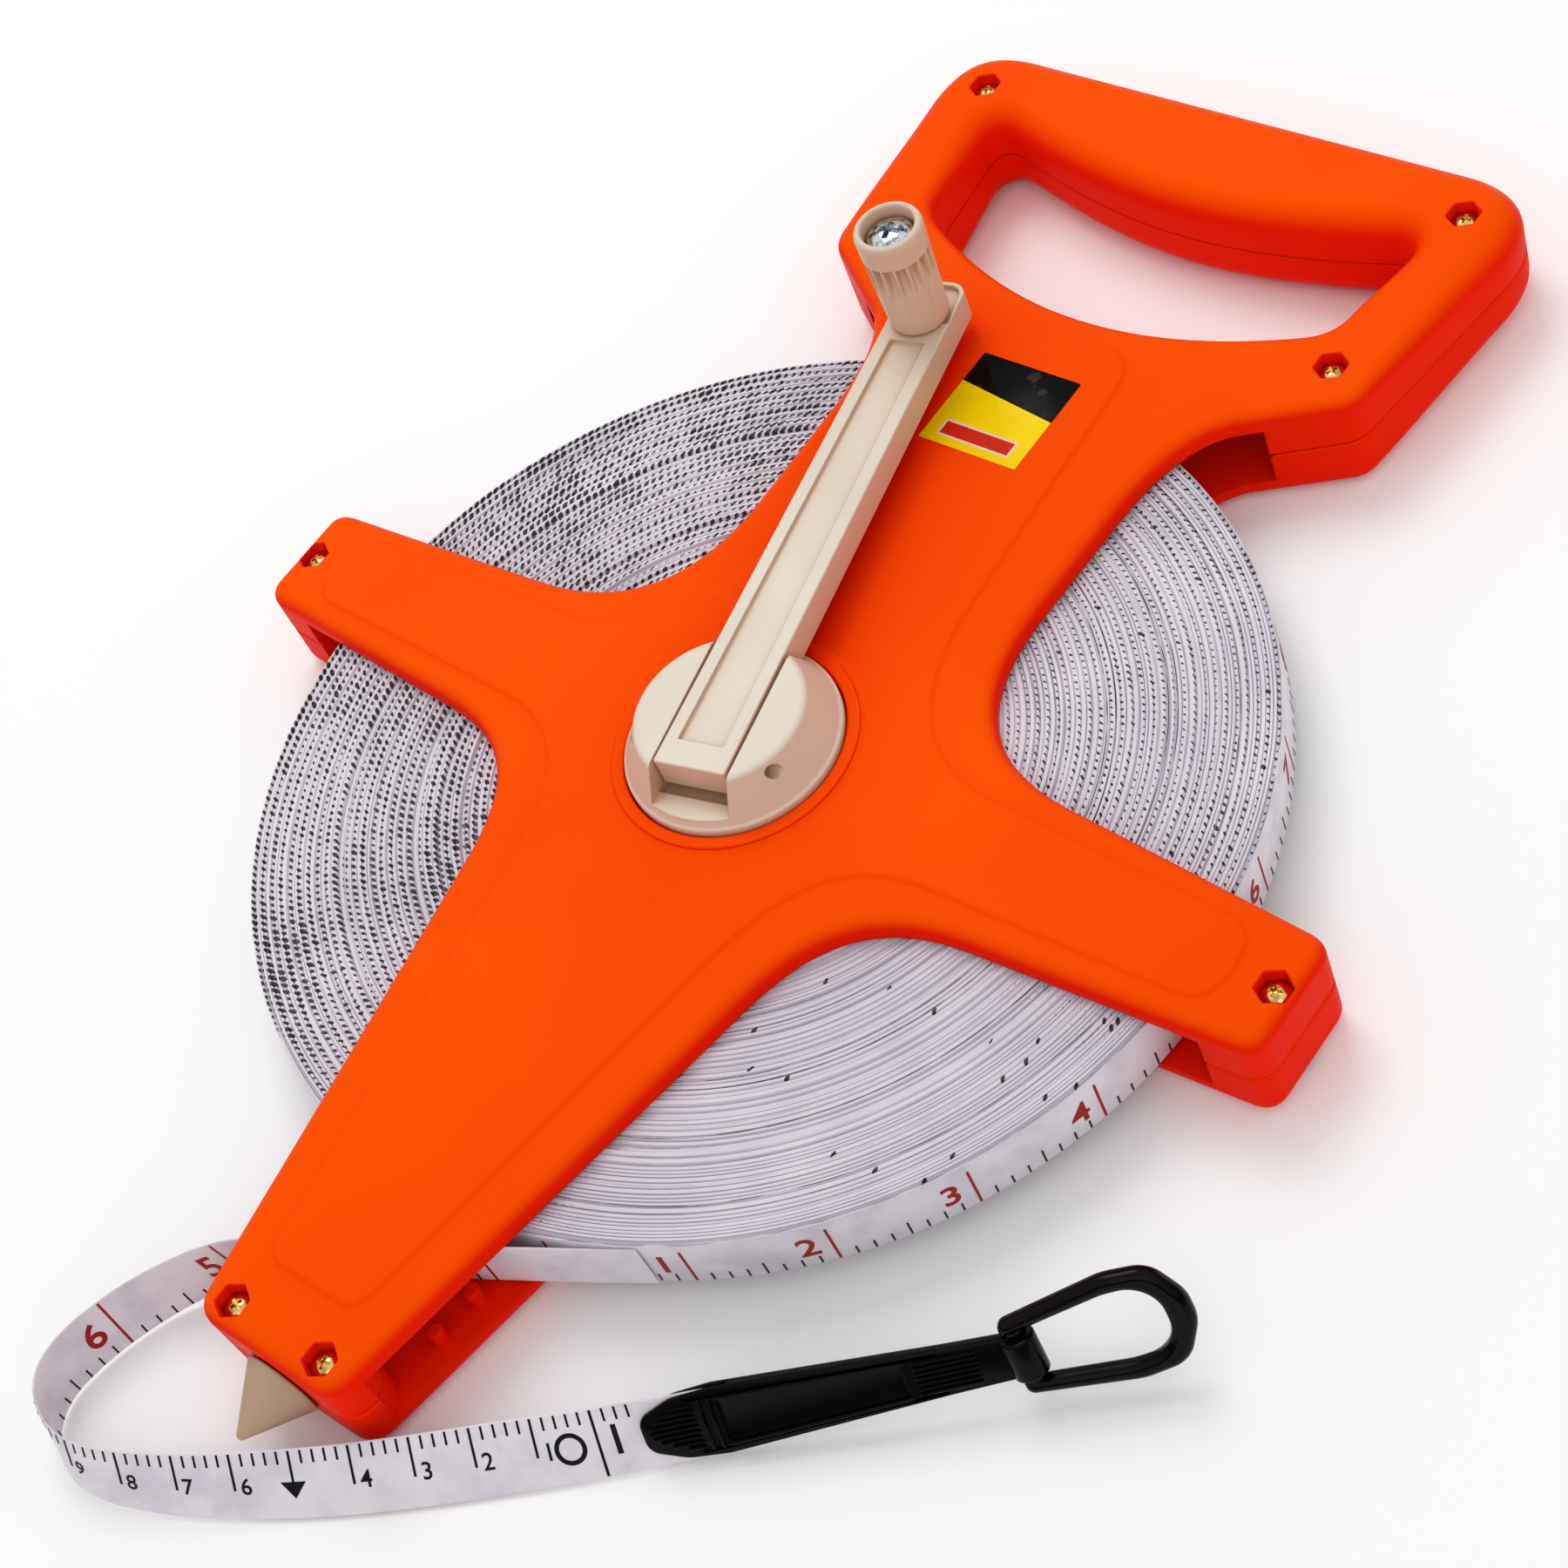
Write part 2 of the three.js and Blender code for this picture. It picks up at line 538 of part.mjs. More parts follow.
place('drum', drum(), plastic(0xd8d8d4, 0.5));
place('tape_roll', tapeRoll(), plastic(0xe1dae4, 0.7));
const anchor = place('tape_anchor_pin', turned([
  [0, PLATE + 3], [0.9, PLATE + 3], [0.9, DEPTH - PLATE - 1], [0, DEPTH - PLATE - 1],
], 14), metal(0xb8b8bc));
anchor.position.set(CORE_RADIUS - 3.6, 0, 0);

const crank = new THREE.Group();
crank.rotation.z = THREE.MathUtils.degToRad(CRANK_ANGLE);
reel.add(crank);
place('crank_disc', crankDisc(), plastic(BEIGE), crank);
DISC_SCREWS.forEach((angle, i) => {
  const [x, y] = discScrewPlace(angle);
  const screw = place(`disc_screw_${i + 1}`,
    screwSolid(0, 2.3, 1.6, SCREW_RADIUS - GAP, 8.2, 0.8), metal(0xb8b8bc));
  screw.rotation.x = Math.PI;
  screw.position.set(x, y, DEPTH - PLATE - GAP - 3 - GAP - 1.6);
});
place('crank_pin', alongX(PIN_RADIUS, 13.6, -PIVOT_BACK, PIVOT_Z, 18), metal(0xb8b8bc), crank);
place('crank_arm', crankArm(), plastic(BEIGE), crank);
const knob = place('crank_knob', turned(knobProfile(), 36), plastic(BEIGE), crank);
const washer = place('knob_washer', turned([
  [SCREW_RADIUS + GAP, 0], [4.9, 0], [4.9, 0.6], [SCREW_RADIUS + GAP, 0.6],
], 28), metal(0xc8c8cc), crank);
const knobScrew = place('knob_screw', screwSolid(0, 4.2, 2.4, SCREW_RADIUS, 11, 1.3), metal(0xd8dce4, 0.12), crank);
const WASHER_LOW = ARM_TOP + KNOB_HEIGHT - 5.4 + GAP;
knob.position.y = CRANK_RADIUS;
washer.position.set(0, CRANK_RADIUS, WASHER_LOW);
knobScrew.position.set(0, CRANK_RADIUS, WASHER_LOW + 0.6 + GAP + 2.4);

place('label_sticker', prism([[-12, 78], [12, 78], [12, 102], [-12, 102]].map(
  ([x, y]) => new THREE.Vector2(x, y)), DEPTH, DEPTH + 0.35), plastic(0xf2cf00, 0.35));

place('tape_lead', tapeLead(), plastic(0xe1dae4, 0.6));
reel.add(SLEEVE_GROUP, RING_GROUP);
place('end_ring', endRing(), plastic(0x0c0c0d, 0.3), RING_GROUP);

// The eye of the sleeve closes round the crossbar, which is not quite square to the sleeve.
const eyeTurn = new THREE.Quaternion().setFromUnitVectors(
  new THREE.Vector3(0, 1, 0),
  RING_BAR.clone().applyQuaternion(SLEEVE_GROUP.quaternion.clone().invert()));
const eyeTube = (radius, half) => solid(
  new THREE.CylinderGeometry(radius, radius, 2 * half, 24).applyQuaternion(eyeTurn));
place('end_sleeve', endSleeve().add(eyeTube(EYE_RADIUS, 3.9)).subtract(eyeTube(BAR_RADIUS + 0.4, 9)),
  plastic(0x0c0c0d, 0.45), SLEEVE_GROUP);

export default reel;
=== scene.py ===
"""Looks of an open-frame surveyor's tape reel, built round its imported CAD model.

Lengths here are in millimetres, in the frame of the part: +Z out of the front, +Y to the handle.
make() turns them into metres.
"""
import bisect
import math
import random

import bmesh
import bpy
from mathutils import Matrix, Vector


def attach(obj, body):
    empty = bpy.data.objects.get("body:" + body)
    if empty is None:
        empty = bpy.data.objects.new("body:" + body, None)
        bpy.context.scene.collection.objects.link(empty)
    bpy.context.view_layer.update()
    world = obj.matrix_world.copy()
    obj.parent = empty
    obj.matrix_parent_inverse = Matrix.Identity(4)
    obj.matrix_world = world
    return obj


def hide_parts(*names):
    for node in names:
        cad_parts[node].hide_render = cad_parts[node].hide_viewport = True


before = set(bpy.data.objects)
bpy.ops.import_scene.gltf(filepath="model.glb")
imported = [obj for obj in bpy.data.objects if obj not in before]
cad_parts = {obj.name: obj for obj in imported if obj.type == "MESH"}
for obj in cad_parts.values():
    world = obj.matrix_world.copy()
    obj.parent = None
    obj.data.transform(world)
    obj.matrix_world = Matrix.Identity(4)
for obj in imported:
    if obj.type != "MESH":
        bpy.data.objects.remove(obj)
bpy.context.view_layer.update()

MM = 0.001
DEPTH = 23.2
MID = DEPTH / 2
GAP = 0.3
PLATE = 4.4
WALL = 2.8
INNER = DEPTH - PLATE
SEAM = MID + GAP / 2
ROLL_CAVITY = 113
HUB_BORE = 22.9
TAPE_WIDTH = 13
ROLL_RADIUS = 103
CORE_RADIUS = 27
DISC_TOP = DEPTH + 11.6
CRANK_ANGLE = math.radians(12.8)
CRANK_RADIUS = 100.6
ARM_TOP = DISC_TOP
ARM_BOTTOM = ARM_TOP - 6.9
PIVOT = (-9.4, DEPTH + 8.8)
KNOB_TOP = ARM_TOP + 25.6
LENS = 68.36
# Sky strength, its strength for gloss at the horizon, and the heights between which that fades.
SKY = 0.72
SKY_LOW = 0.12
SKY_FADE = (0.25, 0.6)
FLOOR_HALF = 4000
SCREWS = [
    (-120, 0), (120, 0), (-11.5, -138), (11.5, -138),
    (-59.5, 169.5), (59.5, 169.5), (-55.8, 125), (55.8, 125),
]
CAMERA_PLACE = (322.11, -188.49, 448.74)
CAMERA_RIGHT = (0.758837, 0.579826, -0.296596)
CAMERA_DOWN = (0.344489, -0.743825, -0.572758)
CAMERA_AHEAD = (-0.552715, 0.332455, -0.764185)

# Woven edges of the wound tape, in millimetres, and the direction where the weave shows least.
ROW_PITCH = 1.95
WEFT_PITCH = 1.7
TURN_PITCH = 1.9
OPEN_SIDE = math.radians(180)
FAR_SIDE = math.radians(48)

# Printed marks: lengths along the tape of one full line and one inch line, and the pitches seen in
# the photo, which are wider than a centimetre and an inch at this model's scale.
FULL_LINE = 246.0
CM_PITCH = 11.4
INCH_LINE = 110.0
INCH_PITCH = 26.3
RIM_LINE = math.radians(-59.3)
PRINT_THICK = 0.09
PRINT_HALF = TAPE_WIDTH / 2 - 0.3
TAPE_HALF = 0.25

TAPE_LIGHT = (0.76, 0.71, 0.77)
TAPE_COOL = (0.62, 0.58, 0.66)
ORANGE = (0.95, 0.080, 0.001)
ORANGE_DEEP = (0.92, 0.070, 0.001)
BEIGE = (0.76, 0.67, 0.56)
BEIGE_DEEP = (0.71, 0.61, 0.50)


# ---- camera, floor and light ----------------------------------------------------------
def add(name, data):
    """A new object in the scene."""
    obj = bpy.data.objects.new(name, data)
    bpy.context.scene.collection.objects.link(obj)
    return obj


def add_camera():
    data = bpy.data.cameras.new("camera")
    data.lens = LENS
    data.sensor_width = 36
    data.clip_start = 0.01
    camera = add("camera", data)
    turn = Matrix((CAMERA_RIGHT, -Vector(CAMERA_DOWN), -Vector(CAMERA_AHEAD))).transposed()
    camera.matrix_world = Matrix.Translation(Vector(CAMERA_PLACE) * MM) @ turn.to_4x4()
    bpy.context.scene.camera = camera


def light_sky(tree):
    """An even white sky; mirrors and gloss see it darken towards the horizon."""
    sky = tree.nodes["Background"]
    place = tree.nodes.new("ShaderNodeTexCoord")
    split = tree.nodes.new("ShaderNodeSeparateXYZ")
    fall = tree.nodes.new("ShaderNodeMapRange")
    ray = tree.nodes.new("ShaderNodeLightPath")
    mix = tree.nodes.new("ShaderNodeMix")
    for socket, value in zip(list(fall.inputs)[1:5], (*SKY_FADE, SKY_LOW, SKY)):
        socket.default_value = value
    mix.inputs[2].default_value = SKY
    tree.links.new(place.outputs["Generated"], split.inputs[0])
    tree.links.new(split.outputs["Z"], fall.inputs[0])
    tree.links.new(ray.outputs["Is Glossy Ray"], mix.inputs[0])
    tree.links.new(fall.outputs[0], mix.inputs[3])
    tree.links.new(mix.outputs[0], sky.inputs["Strength"])
    sky.inputs["Color"].default_value = (1, 1, 1, 1)


def add_light(name, place, size, power, aim=(0, 0, 0)):
    data = bpy.data.lights.new(name, "AREA")
    data.shape, data.size, data.size_y, data.energy = "RECTANGLE", size, size, power
    light = add(name, data)
    light.location = place
    light.rotation_euler = (Vector(aim) - Vector(place)).to_track_quat("-Z", "Y").to_euler()


# ---- meshes ---------------------------------------------------------------------------
def make(name, verts, faces, smooth=True, sharp=35):
    mesh = bpy.data.meshes.new(name)
    mesh.from_pydata([Vector(v) * MM for v in verts], [], faces)
    mesh.validate()
    obj = add(name, mesh)
    shade(obj, smooth, sharp)
    return obj


def shade(obj, smooth=True, sharp=35):
    mesh = obj.data
    mesh.polygons.foreach_set("use_smooth", [smooth] * len(mesh.polygons))
    if smooth:
        mesh.set_sharp_from_angle(angle=math.radians(sharp))
    mesh.update()


def outward(obj, merge=False):
    """Turns the faces outwards, once doubled points are merged if asked."""
    work = bmesh.new()
    work.from_mesh(obj.data)
    if merge:
        bmesh.ops.remove_doubles(work, verts=work.verts, dist=1e-7)
        bmesh.ops.dissolve_degenerate(work, edges=work.edges, dist=1e-8)
    bmesh.ops.recalc_face_normals(work, faces=work.faces)
    work.to_mesh(obj.data)
    work.free()
    return obj


def tube_faces(rings, n):
    """Faces of a capped tube of rings of n points each."""
    faces = [(k * n + i, k * n + (i + 1) % n, (k + 1) * n + (i + 1) % n, (k + 1) * n + i)
             for k in range(rings - 1) for i in range(n)]
    return [*faces, tuple(reversed(range(n))), tuple(range(n * (rings - 1), n * rings))]


def swept_faces(steps, n, closed=True):
    """Faces of a profile of n points that goes round in steps."""
    return [(i * n + k, (i + 1) % steps * n + k, (i + 1) % steps * n + (k + 1) % n, i * n + (k + 1) % n)
            for i in range(steps) for k in range(n if closed else n - 1)]


def baked(obj):
    """The object's mesh with its modifiers applied."""
    bpy.context.view_layer.update()
    seen = obj.evaluated_get(bpy.context.evaluated_depsgraph_get())
    mesh = bpy.data.meshes.new_from_object(seen)
    old = obj.data
    obj.modifiers.clear()
    obj.data = mesh
    mesh.name = old.name
    return obj


def remove(obj):
    bpy.data.objects.remove(obj, do_unlink=True)


def carve(body, tools, operation="DIFFERENCE"):
    for tool in tools:
        modifier = body.modifiers.new("carve", "BOOLEAN")
        modifier.operation, modifier.object, modifier.solver = operation, tool, "EXACT"
        baked(body)
        remove(tool)
    return body


def joined(objects):
    """One object that holds the meshes of several."""
    work = bmesh.new()
    for obj in objects:
        work.from_mesh(obj.data)
    work.to_mesh(objects[0].data)
    work.free()
    for obj in objects[1:]:
        remove(obj)
    return objects[0]


def placed(obj, matrix):
    """Moves the mesh itself; the matrix is in millimetres."""
    matrix = matrix.copy()
    matrix.translation *= MM
    obj.data.transform(matrix)
    return obj


def moved(obj, x, y, z):
    return placed(obj, Matrix.Translation((x, y, z)))


# ---- outlines -------------------------------------------------------------------------
def outline(corners, step=6.0):
    """Samples of a closed anticlockwise outline of (x, y, corner radius), each with its outward normal."""
    samples = []
    for i, (x, y, radius) in enumerate(corners):
        corner = Vector((x, y))
        into = (corner - Vector(corners[i - 1][:2])).normalized()
        out = (Vector(corners[(i + 1) % len(corners)][:2]) - corner).normalized()
        turn = math.atan2(into.x * out.y - into.y * out.x, into.dot(out))
        side = 1 if turn > 0 else -1
        start = corner - into * radius * math.tan(abs(turn) / 2)
        centre = start + side * radius * Vector((-into.y, into.x))
        first = side * Vector((into.y, -into.x))
        count = max(2, math.ceil(abs(math.degrees(turn)) / step))
        for j in range(count + 1):
            away = first.copy()
            away.rotate(Matrix.Rotation(turn * j / count, 2))
            samples.append((centre + radius * away, side * away))
    return samples


def around(radius, angle, x=0, y=0):
    """The point at a radius and an angle from a centre."""
    return x + radius * math.cos(angle), y + radius * math.sin(angle)


def full_turn(steps):
    return [2 * math.pi * i / steps for i in range(steps)]


def raised(base, *points):
    """Points of a profile, or rings of a loft, whose heights count from a base."""
    return [(r, base + z) for r, z in points]


def circle(radius, steps=96, centre=(0, 0)):
    normals = [Vector(around(1, a)) for a in full_turn(steps)]
    return [(Vector(centre) + radius * n, n) for n in normals]


def rectangle(x0, y0, x1, y1, radius=0.01):
    return outline([(x0, y0, radius), (x1, y0, radius), (x1, y1, radius), (x0, y1, radius)], 15)


def loft(name, samples, rings, sharp=35):
    """A closed solid of rings of (offset outwards, z), lowest first; a ring may be a function of a point."""
    verts = []
    for ring in rings:
        for point, normal in samples:
            offset, z = ring(point) if callable(ring) else ring
            at = point + normal * offset
            verts.append((at.x, at.y, z))
    return make(name, verts, tube_faces(len(rings), len(samples)), sharp=sharp)


def prism(samples, low, high, offset=0):
    return loft("tool", samples, [(offset, low), (offset, high)])


def rounding(radius, top, steps=7):
    """Rings that round the upper edge; radius may be a function of the point."""
    return [quarter_ring(radius, top, math.pi / 2 * i / steps, -1) for i in range(steps + 1)]


def quarter_ring(radius, top, angle, side):
    """A ring on a quarter round at the angle, inwards or outwards by side."""
    def at(point):
        r = radius(point) if callable(radius) else radius
        return side * r * (1 - math.cos(angle)), top - r * (1 - math.sin(angle))
    return at


def turned(name, profile, steps=96, axis="Z", closed=False):
    """A turned piece; the profile of (radius, z) goes from the axis back to it, or is closed into a ring."""
    verts = [(*around(r, a), z) for a in full_turn(steps) for r, z in profile]
    obj = make(name, verts, swept_faces(steps, len(profile), closed))
    outward(obj, True)
    if axis == "Y":
        placed(obj, Matrix.Rotation(-math.pi / 2, 4, "X"))
    if axis == "X":
        placed(obj, Matrix.Rotation(math.pi / 2, 4, "Y"))
    shade(obj)
    return obj


def arc(centre, radius, start, end, steps=5):
    """Points of a profile on an arc; angles in degrees."""
    angles = [math.radians(start + (end - start) * i / steps) for i in range(steps + 1)]
    return [around(radius, a, *centre) for a in angles]


def ease(low, high, value):
    t = min(1, max(0, (value - low) / (high - low)))
    return t * t * (3 - 2 * t)


# ---- node materials -------------------------------------------------------------------
class Paint:
    """A node material that is built up from small calls; sockets are passed on as values."""

    def __init__(self, name):
        self.material = bpy.data.materials.new(name)
        self.material.use_nodes = True
        self.tree = self.material.node_tree
        self.shader = self.tree.nodes["Principled BSDF"]
        self.place = self.node("ShaderNodeTexCoord").outputs["Object"]

    def node(self, kind, **settings):
        node = self.tree.nodes.new(kind)
        for key, value in settings.items():
            setattr(node, key, value)
        return node

    def put(self, socket, value):
        if isinstance(value, bpy.types.NodeSocket):
            self.tree.links.new(value, socket)
        else:
            socket.default_value = value

    def split(self, vector):
        node = self.node("ShaderNodeSeparateXYZ")
        self.put(node.inputs[0], vector)
        return node.outputs

    def math(self, operation, *values):
        node = self.node("ShaderNodeMath", operation=operation)
        for socket, value in zip(node.inputs, values):
            self.put(socket, value)
        return node.outputs[0]

    def times(self, a, b):
        return self.math("MULTIPLY", a, b)

    def plus(self, a, b):
        return self.math("ADD", a, b)

    def minus(self, a, b):
        return self.math("SUBTRACT", a, b)

    def off_middle(self, value):
        """How far a value is from the middle of its cell, one cell to each whole number."""
        return self.minus(self.math("FRACT", value), 0.5)

    def noise(self, scale, detail=3, stretch=None):
        node = self.node("ShaderNodeTexNoise")
        where = self.place
        if stretch:
            mapping = self.node("ShaderNodeMapping")
            self.put(mapping.inputs["Vector"], where)
            mapping.inputs["Scale"].default_value = stretch
            where = mapping.outputs[0]
        self.put(node.inputs["Vector"], where)
        node.inputs["Scale"].default_value = scale
        node.inputs["Detail"].default_value = detail
        return node.outputs["Fac"]

    def step(self, value, low, high, to=(0, 1)):
        node = self.node("ShaderNodeMapRange", interpolation_type="SMOOTHSTEP")
        for socket, number in zip(node.inputs, (value, low, high, *to)):
            self.put(socket, number)
        return node.outputs[0]

    def mix(self, factor, a, b):
        """Between two colours, each a socket or (red, green, blue)."""
        node = self.node("ShaderNodeMix", data_type="RGBA")
        self.put(node.inputs["Factor"], factor)
        for key, color in (("A", a), ("B", b)):
            self.put(node.inputs[key], (*color, 1) if isinstance(color, tuple) else color)
        return node.outputs["Result"]

    def bump(self, height, distance, strength=1.0, edge=0):
        node = self.node("ShaderNodeBump")
        node.inputs["Distance"].default_value = distance
        node.inputs["Strength"].default_value = strength
        self.put(node.inputs["Height"], height)
        if edge:
            bevel = self.node("ShaderNodeBevel", samples=4)
            bevel.inputs["Radius"].default_value = edge
            self.put(node.inputs["Normal"], bevel.outputs[0])
        self.put(self.shader.inputs["Normal"], node.outputs[0])

    def finish(self, color=None, roughness=None, **fixed):
        if color is not None:
            self.put(self.shader.inputs["Base Color"], color)
        if roughness is not None:
            self.put(self.shader.inputs["Roughness"], roughness)
        for key, value in fixed.items():
            self.shader.inputs[key.replace("_", " ")].default_value = value
        return self.material


def plastic(name, color, deep, rough=(0.3, 0.42), edge=0.0004, gloss=0.5,
            tint=(1, 1, 1), shaded=None, wall_shade=0.0, ior=1.5):
    """Moulded plastic: fine grain, faint flow clouds, handling scuffs in the gloss, edges worn round; given a
    shaded colour, painted shade on upright faces and in hollows.
    """
    p = Paint(name)
    cloud = p.noise(14, 2)
    fine = p.noise(2600, 2)
    scratch = p.noise(420, 4, stretch=(1, 0.05, 1))
    shade_of = p.mix(p.step(cloud, 0.35, 0.7), color, deep)
    # Painted shade: upright faces, and hollows found by ambient occlusion, take the shaded colour.
    if shaded:
        normal = p.split(p.node("ShaderNodeTexCoord").outputs["Normal"])
        upright = p.step(p.math("ABSOLUTE", normal["Z"]), 0.35, 0.97, (wall_shade, 0.0))
        hidden = p.node("ShaderNodeAmbientOcclusion", samples=5)
        hidden.inputs["Distance"].default_value = 0.03
        hollow_shade = p.step(hidden.outputs["AO"], 0.4, 0.97, (1.0, 0.0))
        shade_of = p.mix(p.math("MAXIMUM", upright, hollow_shade), shade_of, shaded)
    worn = p.times(p.step(scratch, 0.6, 0.72), 0.25)
    smooth = p.step(p.noise(60, 4), 0.3, 0.7, rough)
    p.bump(p.plus(p.times(fine, 0.5), p.times(cloud, 0.5)), 0.00003, 0.6, edge)
    return p.finish(shade_of, p.plus(smooth, p.times(worn, 0.3)), Specular_IOR_Level=gloss,
                    Specular_Tint=(*tint, 1), IOR=ior)


def metal(name, color, tarnish_and_reflection_color, rough=(0.12, 0.24)):
    """Plated metal with fine turning lines and darker patches: tarnished on the brass and steel, painted dark
    reflection on the chrome.
    """
    p = Paint(name)
    # Darker patches: the brass and steel tarnished, on the chrome painted dark reflection.
    tarnish_and_painted_reflection = p.step(p.noise(700, 4), 0.42, 0.68)
    lines = p.noise(5200, 2, stretch=(1, 1, 0.2))
    p.bump(lines, 0.00002, 0.5, 0.00012)
    return p.finish(p.mix(tarnish_and_painted_reflection, color, tarnish_and_reflection_color), p.step(tarnish_and_painted_reflection, 0, 1, rough), Metallic=1.0)


def polar(p):
    """Radius in millimetres, and angle in radians, about the reel's axis."""
    x, y, z = p.split(p.place)
    radius = p.math("SQRT", p.plus(p.times(x, x), p.times(y, y)))
    return p.times(radius, 1000), p.math("ARCTAN2", y, x), z


def random_of(p, value):
    node = p.node("ShaderNodeTexWhiteNoise", noise_dimensions="1D")
    p.put(node.inputs["W"], value)
    return node.outputs["Value"]


def wound_tape():
    """Woven edges: turns side by side, with dark gaps of the weft in rows that drift between turns."""
    p = Paint("wound_tape_edges")
    radius, angle, z = polar(p)
    wander = p.times(p.minus(p.noise(22, 3), 0.5), 2.6)
    row = p.math("DIVIDE", p.plus(radius, wander), ROW_PITCH)
    row_number = p.math("FLOOR", row)
    across = p.times(p.off_middle(row), ROW_PITCH)
    row_radius = p.times(p.plus(row_number, 0.5), ROW_PITCH)
    weft = p.math("DIVIDE", p.times(row_radius, angle), WEFT_PITCH)
    jitter = p.times(random_of(p, row_number), 0.16)
    drift = p.plus(jitter, p.math("PINGPONG", p.times(row_number, 0.31), 1.24))
    cell = p.plus(weft, drift)
    along = p.times(p.off_middle(cell), WEFT_PITCH)
    slant = p.plus(across, p.times(along, 0.55))
    reach = p.math("SQRT", p.plus(p.times(slant, slant), p.times(p.times(along, along), 0.5)))
    speck = random_of(p, p.plus(p.math("FLOOR", cell), p.times(row_number, 17.3)))
    size = p.step(p.plus(p.times(speck, 0.5), p.noise(260, 2)), 0.4, 1.1, (0.38, 0.66))
    open_side = p.step(p.math("COSINE", p.minus(angle, OPEN_SIDE)), -0.55, 0.45)
    patch = p.step(p.noise(38, 3), 0.35, 0.62, (0.7, 1.0))
    far_side = p.step(p.math("COSINE", p.minus(angle, FAR_SIDE)), 0.3, 0.85, (0.0, 0.55))
    present = p.times(p.math("MAXIMUM", open_side, far_side), patch)
    rare = p.math("GREATER_THAN", speck, 0.985)
    shown = p.math("MAXIMUM", present, p.times(rare, 0.7))
    dots = p.math("LESS_THAN", reach, p.times(size, shown))
    turn_of = p.math("DIVIDE", p.plus(radius, p.times(wander, 0.5)), TURN_PITCH)
    turn_number = p.math("FLOOR", turn_of)
    in_turn = p.math("ABSOLUTE", p.off_middle(turn_of))
    depth_of = random_of(p, turn_number)
    seam = p.times(p.step(in_turn, 0.34, 0.47), p.step(depth_of, 0.4, 0.95, (0.06, 1.0)))
    broken = p.step(p.noise(150, 3), 0.3, 0.6, (0.25, 1.0))
    line_side = p.minus(1.2, open_side)
    seams = p.times(p.times(seam, broken), line_side)
    on_face = p.step(p.math("ABSOLUTE", p.minus(z, MID * MM)), 0.00585, 0.006)
    dark = p.times(p.math("MINIMUM", p.plus(dots, p.times(seams, 0.95)), 1.0), on_face)
    tint = p.mix(p.step(p.noise(30, 3), 0.3, 0.7), TAPE_LIGHT, TAPE_COOL)
    fibre = p.noise(1500, 2)
    p.bump(p.plus(p.times(fibre, 0.35), p.times(dark, -1.0)), 0.0003, 0.8)
    color = p.mix(p.times(dark, 0.97), tint, (0.012, 0.010, 0.012))
    return p.finish(color, p.step(fibre, 0.3, 0.7, (0.5, 0.7)), Specular_IOR_Level=0.3)


def tape_face():
    """Coated tape: the weave shows faintly through a satin coat, with handling smudges."""
    p = Paint("tape_coating")
    smudge = p.step(p.noise(120, 4), 0.4, 0.75)
    weave = p.plus(p.noise(900, 2, stretch=(1, 1, 3)), p.noise(900, 2, stretch=(3, 1, 1)))
    tint = p.mix(smudge, TAPE_LIGHT, TAPE_COOL)
    p.bump(weave, 0.00006, 0.5)
    return p.finish(tint, p.step(smudge, 0, 1, (0.34, 0.48)), Specular_IOR_Level=0.45)


def ink(name, color):
    p = Paint(name)
    patchy = p.step(p.noise(900, 3), 0.3, 0.75, (0.0, 0.35))
    faded = tuple(c + 0.02 for c in color)
    return p.finish(p.mix(patchy, color, faded), 0.45, Specular_IOR_Level=0.15)


def assign(obj, *materials):
    obj.data.materials.clear()
    for material in materials:
        obj.data.materials.append(material)
    return obj


def settled(obj, sharp, material):
    """Shaded with normals that lean to the larger faces, and painted."""
    shade(obj, True, sharp)
    obj.modifiers.new("normals", "WEIGHTED_NORMAL").keep_sharp = True
    return assign(obj, material)


def finished(obj, body, slot, *nodes):
    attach(obj, body)
    if nodes:
        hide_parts(*nodes)
    return obj


# ---- tape lead: route, band and what is printed on it ---------------------------------
# x, y, z and lean of the width from upright in degrees, positive to the left of travel.
TAPE_ROUTE = [
    (46.6, -92.6, MID, 0), (34, -99, MID, 0), (20, -106.1, MID, 0), (6, -113.2, MID, 0),
    (-8, -120.2, MID, 0), (-18.5, -125.2, 11.4, -1), (-25.5, -129, 10.4, -3),
    (-31, -133, 8.6, -6), (-35.4, -137.4, 7.2, -9), (-39, -142.6, 6.6, -11),
    (-41.9, -148.8, 6.5, -12), (-44, -155, 6.5, -12), (-44.9, -160.6, 6.6, -10),
    (-44.6, -165.6, 6.7, -5), (-42.3, -170, 6.7, 3), (-38, -173.4, 6.6, 11),
    (-32, -175.2, 6.4, 18), (-25, -174.6, 6.1, 24), (-16, -171.3, 5.8, 30),
    (-5.5, -166, 5.4, 36), (5, -159.6, 5.1, 41), (15.2, -152.8, 4.8, 45),
    (25, -145.6, 4.6, 48), (34.4, -138.3, 4.5, 49), (43.3, -131.3, 4.7, 47),
    (51.6, -124.9, 5, 43), (59.6, -118.4, 5.4, 38), (67, -112.4, 5.9, 34),
    (74.6, -106, 6.3, 32),
]
UP = Vector((0, 0, 1))


